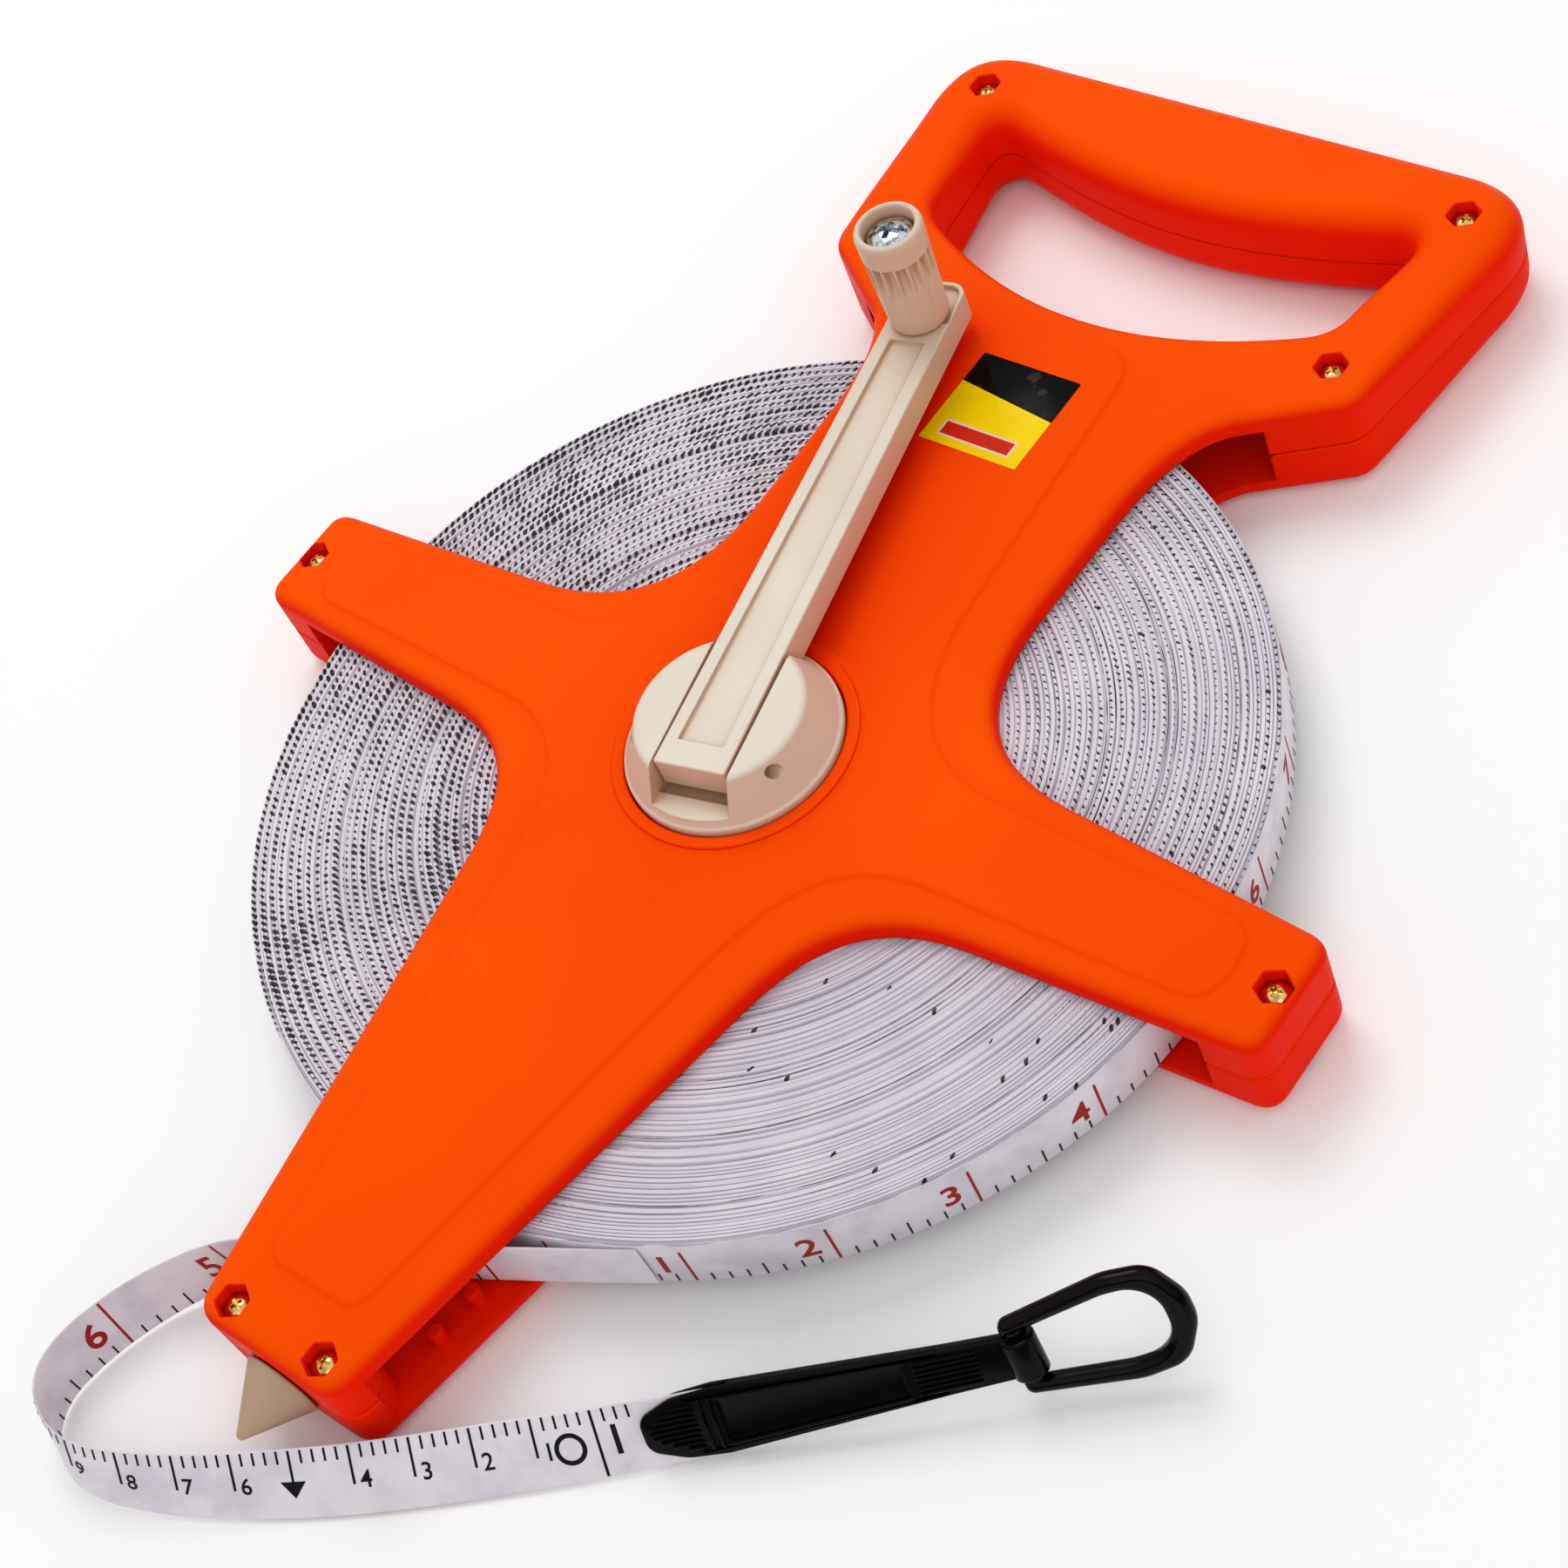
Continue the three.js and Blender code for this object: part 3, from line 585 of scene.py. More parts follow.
class Band:
    """The tape's middle line, with the directions of its width and left face at every length along it."""

    def __init__(self, route, fine=24):
        stops = [Vector(r[:3]) for r in route]
        ends = [2 * stops[0] - stops[1], *stops, 2 * stops[-1] - stops[-2]]
        self.points, leans = [], []
        for i in range(len(stops) - 1):
            p0, p1, p2, p3 = ends[i:i + 4]
            a, b = (p2 - p0) / 2, (p3 - p1) / 2
            for k in range(fine):
                t = k / fine
                self.points.append((2 * p1 - 2 * p2 + a + b) * t ** 3
                                   + (3 * p2 - 3 * p1 - 2 * a - b) * t ** 2 + a * t + p1)
                leans.append(route[i][3] * (1 - t) + route[i + 1][3] * t)
        self.points.append(stops[-1])
        leans.append(route[-1][3])
        self.lengths, self.across, self.left = [0.0], [], []
        for i, lean in enumerate(leans):
            ahead = self.points[min(i + 1, len(leans) - 1)] - self.points[max(i - 1, 0)]
            ahead.normalize()
            side = UP.cross(ahead).normalized()
            across = ahead.cross(side) * math.cos(math.radians(lean)) + side * math.sin(math.radians(lean))
            self.across.append(across.normalized())
            self.left.append(across.cross(ahead).normalized())
            if i:
                self.lengths.append(self.lengths[-1] + (self.points[i] - self.points[i - 1]).length)
        self.length = self.lengths[-1]

    def at(self, s, v, lift):
        """The point at length s, v towards the top edge, lifted off the middle to the left."""
        s = min(max(s, 0), self.length - 1e-6)
        i = min(bisect.bisect_right(self.lengths, s) - 1, len(self.lengths) - 2)
        t = (s - self.lengths[i]) / (self.lengths[i + 1] - self.lengths[i])
        mixed = [a.lerp(b, t) for a, b in ((self.points[i], self.points[i + 1]),
                                           (self.across[i], self.across[i + 1]),
                                           (self.left[i], self.left[i + 1]))]
        return mixed[0] + mixed[1] * v + mixed[2] * lift


BAND = Band(TAPE_ROUTE)


def swept(name, section, stations, at):
    """A closed band: the section's (v, lift) points at every station, through at(s, v, lift)."""
    verts = [at(s, v, lift) for s in stations for v, lift in section]
    obj = make(name, verts, tube_faces(len(stations), len(section)), sharp=60)
    return outward(obj)


def bar(x, half_width, low, high):
    """A printed line across the tape, centred at x, as (verts, faces)."""
    verts = [(at, y, lift) for at in (x - half_width, x + half_width)
             for y, lift in ((low, 0), (high, 0), (high, PRINT_THICK), (low, PRINT_THICK))]
    return verts, tube_faces(2, 4)


def glyph(text, x, y, height, bold=0.12):
    """A numeral, centred at (x, y), as (verts, faces)."""
    curve = bpy.data.curves.new("numeral", "FONT")
    curve.body, curve.size = text, 1.42
    curve.align_x = "CENTER"
    thick = PRINT_THICK / 2
    curve.extrude, curve.offset, curve.resolution_u = thick / height, bold * 0.1, 4
    temp = add("numeral", curve)
    bpy.context.view_layer.update()
    mesh = bpy.data.meshes.new_from_object(temp.evaluated_get(bpy.context.evaluated_depsgraph_get()))
    work = bmesh.new()
    work.from_mesh(mesh)
    bmesh.ops.remove_doubles(work, verts=work.verts, dist=1e-5)
    bmesh.ops.triangulate(work, faces=work.faces)
    for _ in range(2):
        long_edges = [e for e in work.edges if e.calc_length() * height > 1.0]
        if long_edges:
            bmesh.ops.subdivide_edges(work, edges=long_edges, cuts=1)
            bmesh.ops.triangulate(work, faces=work.faces)
    work.verts.ensure_lookup_table()
    xs, ys = [v.co.x for v in work.verts], [v.co.y for v in work.verts]
    cx, cy = (min(xs) + max(xs)) / 2, (min(ys) + max(ys)) / 2
    scale = height / (max(ys) - min(ys))
    verts = [(x + (v.co.x - cx) * scale, y + (v.co.y - cy) * scale, v.co.z * height + thick)
             for v in work.verts]
    faces = [tuple(v.index for v in f.verts) for f in work.faces]
    work.free()
    bpy.data.objects.remove(temp, do_unlink=True)
    bpy.data.curves.remove(curve)
    bpy.data.meshes.remove(mesh)
    return verts, faces


def hoop(x, y, inner, outer, steps=48):
    """A printed ring as (verts, faces)."""
    section = ((inner, 0), (outer, 0), (outer, PRINT_THICK), (inner, PRINT_THICK))
    verts = [(*around(r, a, x, y), z) for a in full_turn(steps) for r, z in section]
    return verts, swept_faces(steps, 4)


def printed(name, marks, onto):
    """One object from marks of (verts, faces); onto maps (x, y, lift) to the surface they are printed on."""
    verts, faces = [], []
    for points, polygons in marks:
        start = len(verts)
        verts += [onto(*p) for p in points]
        faces += [tuple(start + i for i in polygon) for polygon in polygons]
    obj = make(name, verts, faces, smooth=False)
    return outward(obj)


def tape_lead():
    """The stretch of tape off the roll, and what is printed on its two faces."""
    section = [(-6.5, 0), (-6.36, -0.19), (-6, -TAPE_HALF), (6, -TAPE_HALF), (6.36, -0.19), (6.5, 0),
               (6.36, 0.19), (6, TAPE_HALF), (-6, TAPE_HALF), (-6.36, 0.19)]
    stations = [BAND.length * i / 200 for i in range(201)]
    band = assign(swept("tape_lead_band", section, stations, lambda s, v, lift: BAND.at(
        s, v, min(lift, -0.17 + 0.42 * ease(0, 14, s)))), TAPE)
    black, red, black_inch = [], [], []
    # The metric face reads along the travel and looks outwards; length counts back from the sleeve.
    for k in range(-3, 110):
        s = FULL_LINE - k * CM_PITCH / 5
        if s < 14 or s > BAND.length - 8:
            continue
        if k == 0:
            black.append(bar(s, 0.26, -PRINT_HALF, PRINT_HALF))
        elif k % 5 == 0:
            black.append(bar(s, 0.24, -0.9, PRINT_HALF))
        else:
            black.append(bar(s, 0.21, PRINT_HALF - 2.4, PRINT_HALF))
    for k in range(1, 21):
        s = FULL_LINE - k * CM_PITCH
        if s > 8 and k != 5:
            black.append(glyph(str(k), s + 2.3 + 0.5 * (k > 9), -0.1, 3.2))
    arrow = FULL_LINE - 5 * CM_PITCH
    corners = [(arrow - 2.4, 0.4), (arrow, -2.7), (arrow + 2.4, 0.4)]
    black.append(([(*corner, lift) for lift in (0, PRINT_THICK) for corner in corners],
                  [(0, 1, 2), (3, 5, 4), (0, 3, 4, 1), (1, 4, 5, 2), (2, 5, 3, 0)]))
    black.append(hoop(FULL_LINE - 5.2, -0.2, 2.1, 2.95))
    black.append(glyph("1", FULL_LINE + 3.4, 0.2, 5.6, bold=0.2))
    metric = printed("tape_lead_metric_print", black,
                     lambda x, y, lift: BAND.at(x, y, -(TAPE_HALF + lift - 0.03)))
    # The inch face reads against the travel and looks inwards.
    for k in range(0, 90):
        s = INCH_LINE + (k - 24) * INCH_PITCH / 8
        if 14 < s < BAND.length - 20:
            if k % 8 == 0:
                red.append(bar(-s, 0.26, -PRINT_HALF, PRINT_HALF))
            else:
                high = 3.6 if k % 4 == 0 else 2.2
                black_inch.append(bar(-s, 0.19, -PRINT_HALF, high - PRINT_HALF))
    for k, text in ((-2, "4"), (-1, "5"), (0, "6"), (1, "7"), (2, "8"), (3, "9")):
        red.append(glyph(text, -(INCH_LINE + k * INCH_PITCH) - 4.4, 0.6, 6.2, bold=0.22))
    onto_left = lambda x, y, lift: BAND.at(-x, y, TAPE_HALF + lift - 0.03)
    inches = printed("tape_lead_inch_print", red, onto_left)
    ticks = printed("tape_lead_inch_ticks", black_inch, onto_left)
    assign(metric, INK_BLACK), assign(inches, INK_RED), assign(ticks, INK_RED_DARK)
    return band, [metric, inches, ticks]


# ---- end fitting ----------------------------------------------------------------------
def frame_at(place, along, across):
    x = along.normalized()
    z = x.cross(across).normalized()
    y = z.cross(x)
    turn = Matrix((x, y, z)).transposed().to_4x4()
    return Matrix.Translation(place) @ turn


RING_CENTRE = Vector((114, -72.6, 9.8))
RING_BAR = Vector((-0.421, 0.269, 0.866)).normalized()
RING_REACH = Vector((0.736, 0.659, 0.153))
SLEEVE_TIP = Vector((62.4, -116.2, 5.8))
SLEEVE_LENGTH = (RING_CENTRE - SLEEVE_TIP).length
SLEEVE_FRAME = frame_at(RING_CENTRE, RING_CENTRE - SLEEVE_TIP, Vector((-0.35, 0.417, 0.839)))
RING_FRAME = frame_at(RING_CENTRE, RING_REACH, RING_BAR)
EYE_RADIUS = 3.2


def end_sleeve():
    """Moulded strap: a ridged tongue, a long recessed field between two steps, a ribbed grip and the eye."""
    L = SLEEVE_LENGTH
    shape = outline([
        (-L, -3.2, 3.0), (-L + 6.5, -5.9, 8), (-L + 14, -6.5, 12), (-13, -4.3, 8), (-1.5, -3.9, 0.6),
        (-1.5, 3.9, 0.6), (-13, 4.3, 8), (-L + 14, 6.5, 12), (-L + 6.5, 5.9, 8), (-L, 3.2, 3.0),
    ])
    body = loft("end_sleeve_skin", shape, [(-0.5, -1.5), (-0.12, -1.35), (0, -1.0), (0, 0.7),
                                           (-0.12, 1.0), (-0.5, 1.12)])
    tools = [prism(rectangle(-L - 2, -8, -L + 17, 8), -0.55, 0.45)]
    field = outline([(-L + 14.6, -4.2, 0.8), (-20.5, -2.9, 0.8), (-20.5, 2.9, 0.8), (-L + 14.6, 4.2, 0.8)])
    tools.append(loft("tool", field, [(-0.35, 0.55), (-0.1, 0.62), (0, 0.8), (0, 3)]))
    for side in (-1, 1):
        groove = [(-L + 9.5, side * 5.15), (-14, side * 3.65)]
        tools.append(groove_cutter(groove, 0.34, 0.5, 1.12))
    body = carve(body, tools)
    ribs = []
    for i in range(9):
        y = (i - 4) * 1.02
        reach = -L + 1.3 + abs(i - 4) ** 2 * 0.36
        ribs.append(rib((reach, y), (-L + 10.2, y), 0.3, 0.95, 1.62))
    for x in (-L + 11.5, -L + 13.3):
        ribs.append(rib((x, -4.9), (x, 4.9), 0.34, 1.0, 1.62))
    for i in range(7):
        y = (i - 3) * 0.98
        ribs.append(rib((-18.8, y), (-7.6, y * 0.95), 0.27, 0.95, 1.6))
    for side in (-1, 1):
        ribs.append(rib((-L + 14.2, side * 4.55), (-19.8, side * 3.3), 0.34, 0.95, 1.66))
    body = joined([body, *ribs])
    turn = SLEEVE_FRAME.to_quaternion().inverted() @ RING_BAR
    swing = Vector((0, 0, 1)).rotation_difference(turn).to_matrix().to_4x4()
    wall = arc((EYE_RADIUS - 0.5, 3.4), 0.5, 0, 90, 4)
    below = [(r, -z) for r, z in reversed(wall)]
    eye = turned("eye", [(2.0, -3.9), *below, *wall, (2.0, 3.9)], 48, closed=True)
    body = joined([body, placed(eye, swing)])
    placed(body, SLEEVE_FRAME)
    shade(body, True, 32)
    return assign(body, BLACK)


def rib(start, end, half, low, top):
    """A small ridge with a rounded crest, from start to end in the plane."""
    a, b = Vector(start), Vector(end)
    side = Vector((-(b - a).y, (b - a).x)).normalized()
    section = [(-half * 1.25, low), (half * 1.25, low), (half * 0.8, top - 0.12), (half * 0.3, top),
               (-half * 0.3, top), (-half * 0.8, top - 0.12)]
    verts = []
    for t, grow in ((0, 0.55), (0.04, 1), (0.96, 1), (1, 0.55)):
        middle = a.lerp(b, t)
        for y, z in section:
            at = middle + side * y * (0.7 + 0.3 * grow)
            verts.append((at.x, at.y, low + (z - low) * grow if z > low else low))
    obj = make("rib", verts, tube_faces(4, len(section)))
    return outward(obj)


def groove_cutter(ends, half, depth, top):
    a, b = Vector(ends[0]), Vector(ends[1])
    side = Vector((-(b - a).y, (b - a).x)).normalized()
    verts = []
    for middle in (a, b):
        for y, z in raised(top, (-half, 0.5), (-half * 0.9, -0.05), (0, -depth), (half * 0.9, -0.05),
                           (half, 0.5)):
            at = middle + side * y
            verts.append((at.x, at.y, z))
    faces = [(i, i + 1, i + 6, i + 5) for i in range(4)] + [(4, 0, 5, 9), (4, 3, 2, 1, 0), (5, 6, 7, 8, 9)]
    obj = make("tool", verts, faces)
    return outward(obj)


def end_ring():
    """A D-shaped pull ring: round limbs, a flat broad nose, and a crossbar through the sleeve's eye."""
    outer = outline([
        (-2.2, -7.3, 1.7), (17.5, -10.5, 12), (25.6, -9.6, 6), (29.6, -2.6, 7),
        (29.6, 2.6, 7), (25.6, 9.6, 6), (17.5, 10.5, 12), (-2.2, 7.3, 1.7),
    ])
    hole = outline([
        (-4.5, -4.15, 0.2), (16.5, -7.0, 10), (25, -6.7, 6.1),
        (25, 6.7, 6.1), (16.5, 7.0, 10), (-4.5, 4.15, 0.2),
    ])
    quarter = [math.pi / 2 * i / 6 for i in range(7)]

    def limb(radius, half, side):
        """Rings of a limb's rounded section, inwards or outwards by side."""
        low = [(side * radius * (1 - math.sin(a)), -half + radius * (1 - math.cos(a))) for a in quarter]
        return low + [(side * radius * (1 - math.cos(a)), half - radius * (1 - math.sin(a))) for a in quarter]

    bow = loft("end_ring_skin", outer, limb(1.55, 1.8, -1))
    bow = carve(bow, [loft("tool", hole, [(1.5, -4), *limb(1.5, 1.81, 1), (1.5, 4)])])
    crossbar = turned("crossbar", [(0, -5.2), (1.6, -5.2), (1.6, 5.2), (0, 5.2)], 32, axis="Y")
    bow = carve(bow, [crossbar], "UNION")
    placed(bow, RING_FRAME)
    return settled(bow, 40, BLACK_GLOSS)


# ---- frame shells ---------------------------------------------------------------------
def drawn(start, *moves, step=6.0, curve=14):
    """Points of the right half of an outline: a move is a line, a quadratic or a cubic by its length."""
    points = [Vector(start)]
    for move in moves:
        stops = [points[-1], *(Vector(move[i:i + 2]) for i in range(0, len(move), 2))]
        count = curve if len(stops) > 2 else max(1, math.ceil((stops[1] - stops[0]).length / step))
        for k in range(1, count + 1):
            t, level = k / count, stops
            while len(level) > 1:
                level = [a.lerp(b, t) for a, b in zip(level, level[1:])]
            points.append(level[0])
    whole = points + [Vector((-p.x, p.y)) for p in reversed(points) if p.x > 0.01]
    samples = []
    for i, p in enumerate(whole):
        along = (whole[(i + 1) % len(whole)] - p).normalized() + (p - whole[i - 1]).normalized()
        samples.append((p, Vector((along.y, -along.x)).normalized()))
    return samples


FRAME_OUTLINE = drawn(
    (0, -143), (13, -143), (18, -143, 18.9, -138), (34.2, -52), (36.6, -38.5, 38.5, -18, 66, -16.4),
    (119, -12.8), (124, -12.6, 124, -7.9), (124, 7.9), (124, 12.6, 119, 12.8), (66, 16.4),
    (45, 18, 35, 30, 35.4, 52), (36, 78), (36.6, 98, 45, 105), (62.5, 116.5), (65, 118.2, 65.4, 122),
    (71, 163), (72.4, 181.4, 55, 182), (0, 182))
HAND_HOLE = drawn(
    (0, 119), (18, 119, 33, 124.5, 45.5, 131), (50.4, 133.6, 51, 138.5), (53, 157), (53.6, 163.8, 47, 162),
    (34, 158, 18, 153.8, 0, 153.8))
PANEL = drawn(
    (0, -128), (8, -128), (11.3, -128, 12, -123), (24.5, -46), (27, -28, 32, -12, 52, -10.4), (106, -8.4),
    (112, -8, 112, 0), (112, 8, 106, 8.4), (52, 10.4), (34, 12, 24, 26, 22.8, 50), (19, 104),
    (18, 112.5, 11, 112.5), (0, 112.5))


def edge_round(point):
    return 3.2 + 3.2 * ease(118, 168, point.y)


def hole_round(point):
    return 4 + 3 * ease(138, 158, point.y)


def flare(radius, top, steps=7):
    """Rings of a cutter that leaves the edge of a hole rounded."""
    rings = [quarter_ring(radius, top, math.pi / 2 * i / steps, 1) for i in range(steps + 1)]
    return [*rings, lambda point: ((radius(point) if callable(radius) else radius), top + 2)]


def shell_half(name):
    """One shell, seen from outside: parting face just above MID, outer face at DEPTH."""
    body = loft(name, FRAME_OUTLINE, [(-0.7, SEAM), (-0.3, SEAM + 0.16), (0, SEAM + 0.55),
                                      *rounding(edge_round, DEPTH)])
    foot = carve(prism(rectangle(-40, -136.6, 40, -80), 5, INNER),
                 [prism(circle(6.9, 48, (-11.5, -138)), 4, 20), prism(circle(6.9, 48, (11.5, -138)), 4, 20),
                  prism(rectangle(-11.5, -140, 11.5, -131.1), 3, 21)])
    neck = carve(prism([(Vector(p), Vector((0, 0))) for p in
                        ((-42, 92), (42, 92), (51, 110.5), (46, 124), (-46, 124), (-51, 110.5))], 5, INNER),
                 [prism(HAND_HOLE, 2, 25, WALL)])
    tools = [
        prism(circle(ROLL_CAVITY, 180), 5, INNER), foot, neck,
        prism(circle(HUB_BORE, 96), 3, 30),
        loft("tool", HAND_HOLE, [(-0.0, 5), *flare(hole_round, DEPTH + 0.02)]),
        joined([prism(circle(1.7, 24, place), 5, DEPTH - 3) for place in SCREWS]),
        joined([loft("tool", hexagon(place), [(0, DEPTH - 4.2), *flare(0.55, DEPTH + 0.01, 4)])
                for place in SCREWS]),
    ]
    return carve(body, tools)


def hexagon(place):
    return outline([(*corner, 0.35) for corner in arc(place, 3.5, 90, 390)], 20)


def front_shell():
    body = shell_half("front_shell_skin")
    panel = loft("tool", PANEL, raised(DEPTH, (1.1, -1.5), (1.1, -0.02), (0.75, 0.03), (0.45, 0.15),
                                       (0.1, 0.38), (-0.2, 0.54), (-0.6, 0.6)))
    carve(panel, [prism(circle(HUB_BORE, 96), 3, 30)])
    body = carve(body, [panel], "UNION")
    high = DEPTH + 1.8
    profile = [(22.2, INNER + 0.05), (24.6, INNER + 0.05),
               *raised(DEPTH, (26.6, -1), (26.6, 0.56), (26, 0.64), (25.45, 0.82), (25.1, 1.15)),
               *arc((24.2, high - 0.7), 0.7, 10, 90), *arc((22.7, high - 0.5), 0.5, 90, 180, 4)]
    body = carve(body, [turned("tool", profile, 128, closed=True)], "UNION")
    return settled(body, 38, ORANGE_PLASTIC)


def rear_shell():
    body = shell_half("rear_shell_skin")
    plug = prism(circle(23.2, 96), INNER, DEPTH)
    body = carve(body, [plug], "UNION")
    recess = loft("tool", PANEL, raised(DEPTH, (-0.9, -0.6), (-0.35, -0.52), (0, -0.3), (0.3, -0.08),
                                        (0.8, 0.02), (0.8, 2)))
    island = loft("tool", circle(30, 128), raised(DEPTH, (0.9, -1), (0.9, -0.61), (0.4, -0.5), (0, -0.3),
                                                  (-0.2, -0.1), (-0.6, 3)))
    body = carve(body, [carve(recess, [island])])
    placed(body, Matrix.Translation((0, 0, DEPTH)) @ Matrix.Rotation(math.pi, 4, "Y"))
    journal = [(9.4, PLATE - 0.6), (12, PLATE - 0.6), (12, 14.4), (11.6, 14.8), (9.8, 14.8), (9.4, 14.4)]
    extras = [turned("tool", journal, 72, closed=True)]
    peg_wall = [(0, PLATE - 0.6), (1.6, PLATE - 0.6), *arc((1.1, 7.9), 0.5, 0, 90, 4), (0, 8.4)]
    for x, y in ((17.5, -111.5), (16.6, -121)):
        peg = turned("tool", peg_wall, 28)
        extras.append(moved(peg, x, y, 0))
    body = carve(body, [joined(extras)], "UNION")
    return settled(body, 38, ORANGE_PLASTIC)


# ---- small turned pieces --------------------------------------------------------------
def frustum(x, y, low, high, narrow):
    """A four-sided cutter, x by y at the top (half sizes) and narrowed at the bottom."""
    verts = [(sx * x * k, sy * y * k, z) for z, k in ((low, narrow), (high, 1))
             for sx, sy in ((-1, -1), (1, -1), (1, 1), (-1, 1))]
    faces = [(3, 2, 1, 0), (4, 5, 6, 7), *((i, (i + 1) % 4, (i + 1) % 4 + 4, i + 4) for i in range(4))]
    return make("tool", verts, faces)


def phillips(name, top, head, height, shank, length, drive):
    """A pan-head screw with a tapered cross recess."""
    under = top - height
    dome = arc((0, top - head * 1.25), head * 1.25, 44, 90, 8)
    scale = (top - (under + height * 0.45)) / (dome[-1][1] - dome[0][1])
    dome = [(r * head / dome[0][0], top - (top - z) * scale) for r, z in dome]
    body = turned(name, [*raised(under, (0, -length), (shank * 0.5, -length), (shank, 1.2 - length),
                                 (shank, 0), (head * 0.94, 0), (head, height * 0.14)), *dome], 48)
    for x, y in ((drive, drive * 0.28), (drive * 0.28, drive)):
        body = carve(body, [frustum(x, y, top - drive * 0.9, top + 0.5, 0.45)])
    shade(body, True, 32)
    return body


def spike():
    tip = [(0, 0), (0.45, 0.08), (0.85, 0.42), (1.15, 1.0)]
    profile = [*tip, (7.25, 11.3), (7.6, 11.8), (7.7, 12.2), (7.5, 12.5), (5, 12.5), (5, 18.8), (7.7, 18.8),
               (7.7, 21.8), (0, 21.8)]
    obj = turned("ground_spike_skin", profile, 96, axis="Y")
    return assign(moved(obj, 0, -155.8, MID), TAUPE)


# ---- wound tape -----------------------------------------------------------------------
def tape_roll():
    """Turns of tape side by side; some stand a little proud of the next, and wander round the roll."""
    draw = random.Random(11)
    low, high = MID - TAPE_WIDTH / 2, MID + TAPE_WIDTH / 2
    steps, inner = 216, CORE_RADIUS + GAP
    turns = []
    radius = inner
    while radius < ROLL_RADIUS - 1.4:
        width = draw.uniform(0.55, 1.35)
        proud = draw.random() ** 3 * 0.45 - (0.4 if draw.random() < 0.16 else 0)
        turns.append((radius, width, proud, draw.uniform(0, 6.28), draw.choice((1, 1, 2, 3)),
                      draw.uniform(0.02, 0.14)))
        radius += width
    verts, loops = [], []
    for start, width, proud, phase, waves, sway in turns:
        for along, sink in ((0.05, 0.36), (0.2, 0.0), (0.84, 0.0), (0.96, 0.42)):
            loops.append((start + width * along, proud, sink, phase, waves, sway))

    def lift(proud, sink, phase, waves, sway, angle):
        return proud + sway * math.sin(waves * angle + phase) - sink

    for a in full_turn(steps):
        ring = []
        for r, proud, sink, phase, waves, sway in loops:
            ring.append((r, min(high + 0.42, high + lift(proud, sink, phase, waves, sway, a) - 0.1)))
        last = ROLL_RADIUS - 1.0
        ring += [(last, high - 0.05), (last + 0.12, high - 0.5)]
        ring += [(ROLL_RADIUS - inset, high - drop - outer_drop(a))
                 for inset, drop in ((0.62, 0.5), (0.5, 0.12), (0.1, 0.06), (0, 0.2))]
        ring += [(ROLL_RADIUS, low + 0.15), (ROLL_RADIUS - 0.12, low)]
        for r, proud, sink, phase, waves, sway in reversed(loops[::2]):
            ring.append((r, low - max(-0.4, lift(proud, sink, phase, waves, sway, a) - 0.1)))
        verts += [(*around(r, a), z) for r, z in ring]
    obj = make("tape_roll_turns", verts, swept_faces(steps, len(ring)))
    outward(obj)
    shade(obj, True, 50)
    obj.data.materials.append(WOUND)
    obj.data.materials.append(TAPE)
    for polygon in obj.data.polygons:
        if math.hypot(polygon.center.x, polygon.center.y) > (ROLL_RADIUS - 0.06) * MM:
            polygon.material_index = 1
    return obj


def outer_drop(angle):
    """The outermost turn sits lower where the tape leaves the roll."""
    past = (math.radians(-65) - angle) % (2 * math.pi)
    return 1.7 * ease(0, 0.3, past) * (1 - ease(0.4, 1.2, past))


def rim_prints():
    """Inch marks on the outer face of the roll; they read anticlockwise."""
    red, ticks = [], []
    for k in range(8 * 24):
        x = k * INCH_PITCH / 8
        if k % 8 == 0:
            red.append(bar(x, 0.26, -PRINT_HALF, PRINT_HALF - 1.9))
        else:
            high = 3.8 if k % 4 == 0 else 2.3
            ticks.append(bar(x, 0.19, -PRINT_HALF, high - PRINT_HALF))
    for k in range(1, 24):
        text = str(k) if k < 12 else str(k - 11)
        red.append(glyph(text, k * INCH_PITCH - 4.3, -0.2, 5.8, bold=0.22))
    zero = RIM_LINE - INCH_PITCH / ROLL_RADIUS

    def onto(x, y, lift):
        return *around(ROLL_RADIUS + lift - 0.02, zero + x / ROLL_RADIUS), MID + y

    return (assign(printed("rim_inch_print", red, onto), INK_RED),
            assign(printed("rim_inch_ticks", ticks, onto), INK_RED_DARK))


# ---- crank ----------------------------------------------------------------------------
CRANK_TURN = Matrix.Rotation(CRANK_ANGLE, 4, "Z")
KNOB_PLACE = CRANK_TURN @ Matrix.Translation((0, CRANK_RADIUS, 0))


def crank_disc():
    profile = [
        (0, INNER), (10.5, INNER), (10.5, DEPTH - 0.5), (18.6, DEPTH - 0.5), (18.6, INNER), (21.5, INNER),
        (21.9, INNER + 0.4), *raised(DEPTH, (21.9, 2.3), (21.8, 2.65), (21.5, 2.95), (21.1, 3.25)),
        *raised(ARM_TOP, (17.55, -1.5), (17.3, -0.85), (16.95, -0.38), (16.5, -0.12), (16, 0), (15.2, 0),
                (0, 0)),
    ]
    body = turned("crank_disc_skin", profile, 144)
    y = PIVOT[0]
    hole = turned("tool", [(0, -30), (1.45, -30), (1.45, 30), (0, 30)], 32, axis="X")
    moved(hole, 0, *PIVOT)
    tools = [
        prism(rectangle(-8.05, -30, 8.55, 30), ARM_BOTTOM - GAP, ARM_TOP + 5),
        prism(rectangle(-8.05, y - 6.5, 8.55, y + 6.5), PIVOT[1] - 6.6, ARM_TOP + 5),
        hole,
    ]
    body = carve(body, tools)
    placed(body, CRANK_TURN)
    return settled(body, 34, BEIGE_PLASTIC)


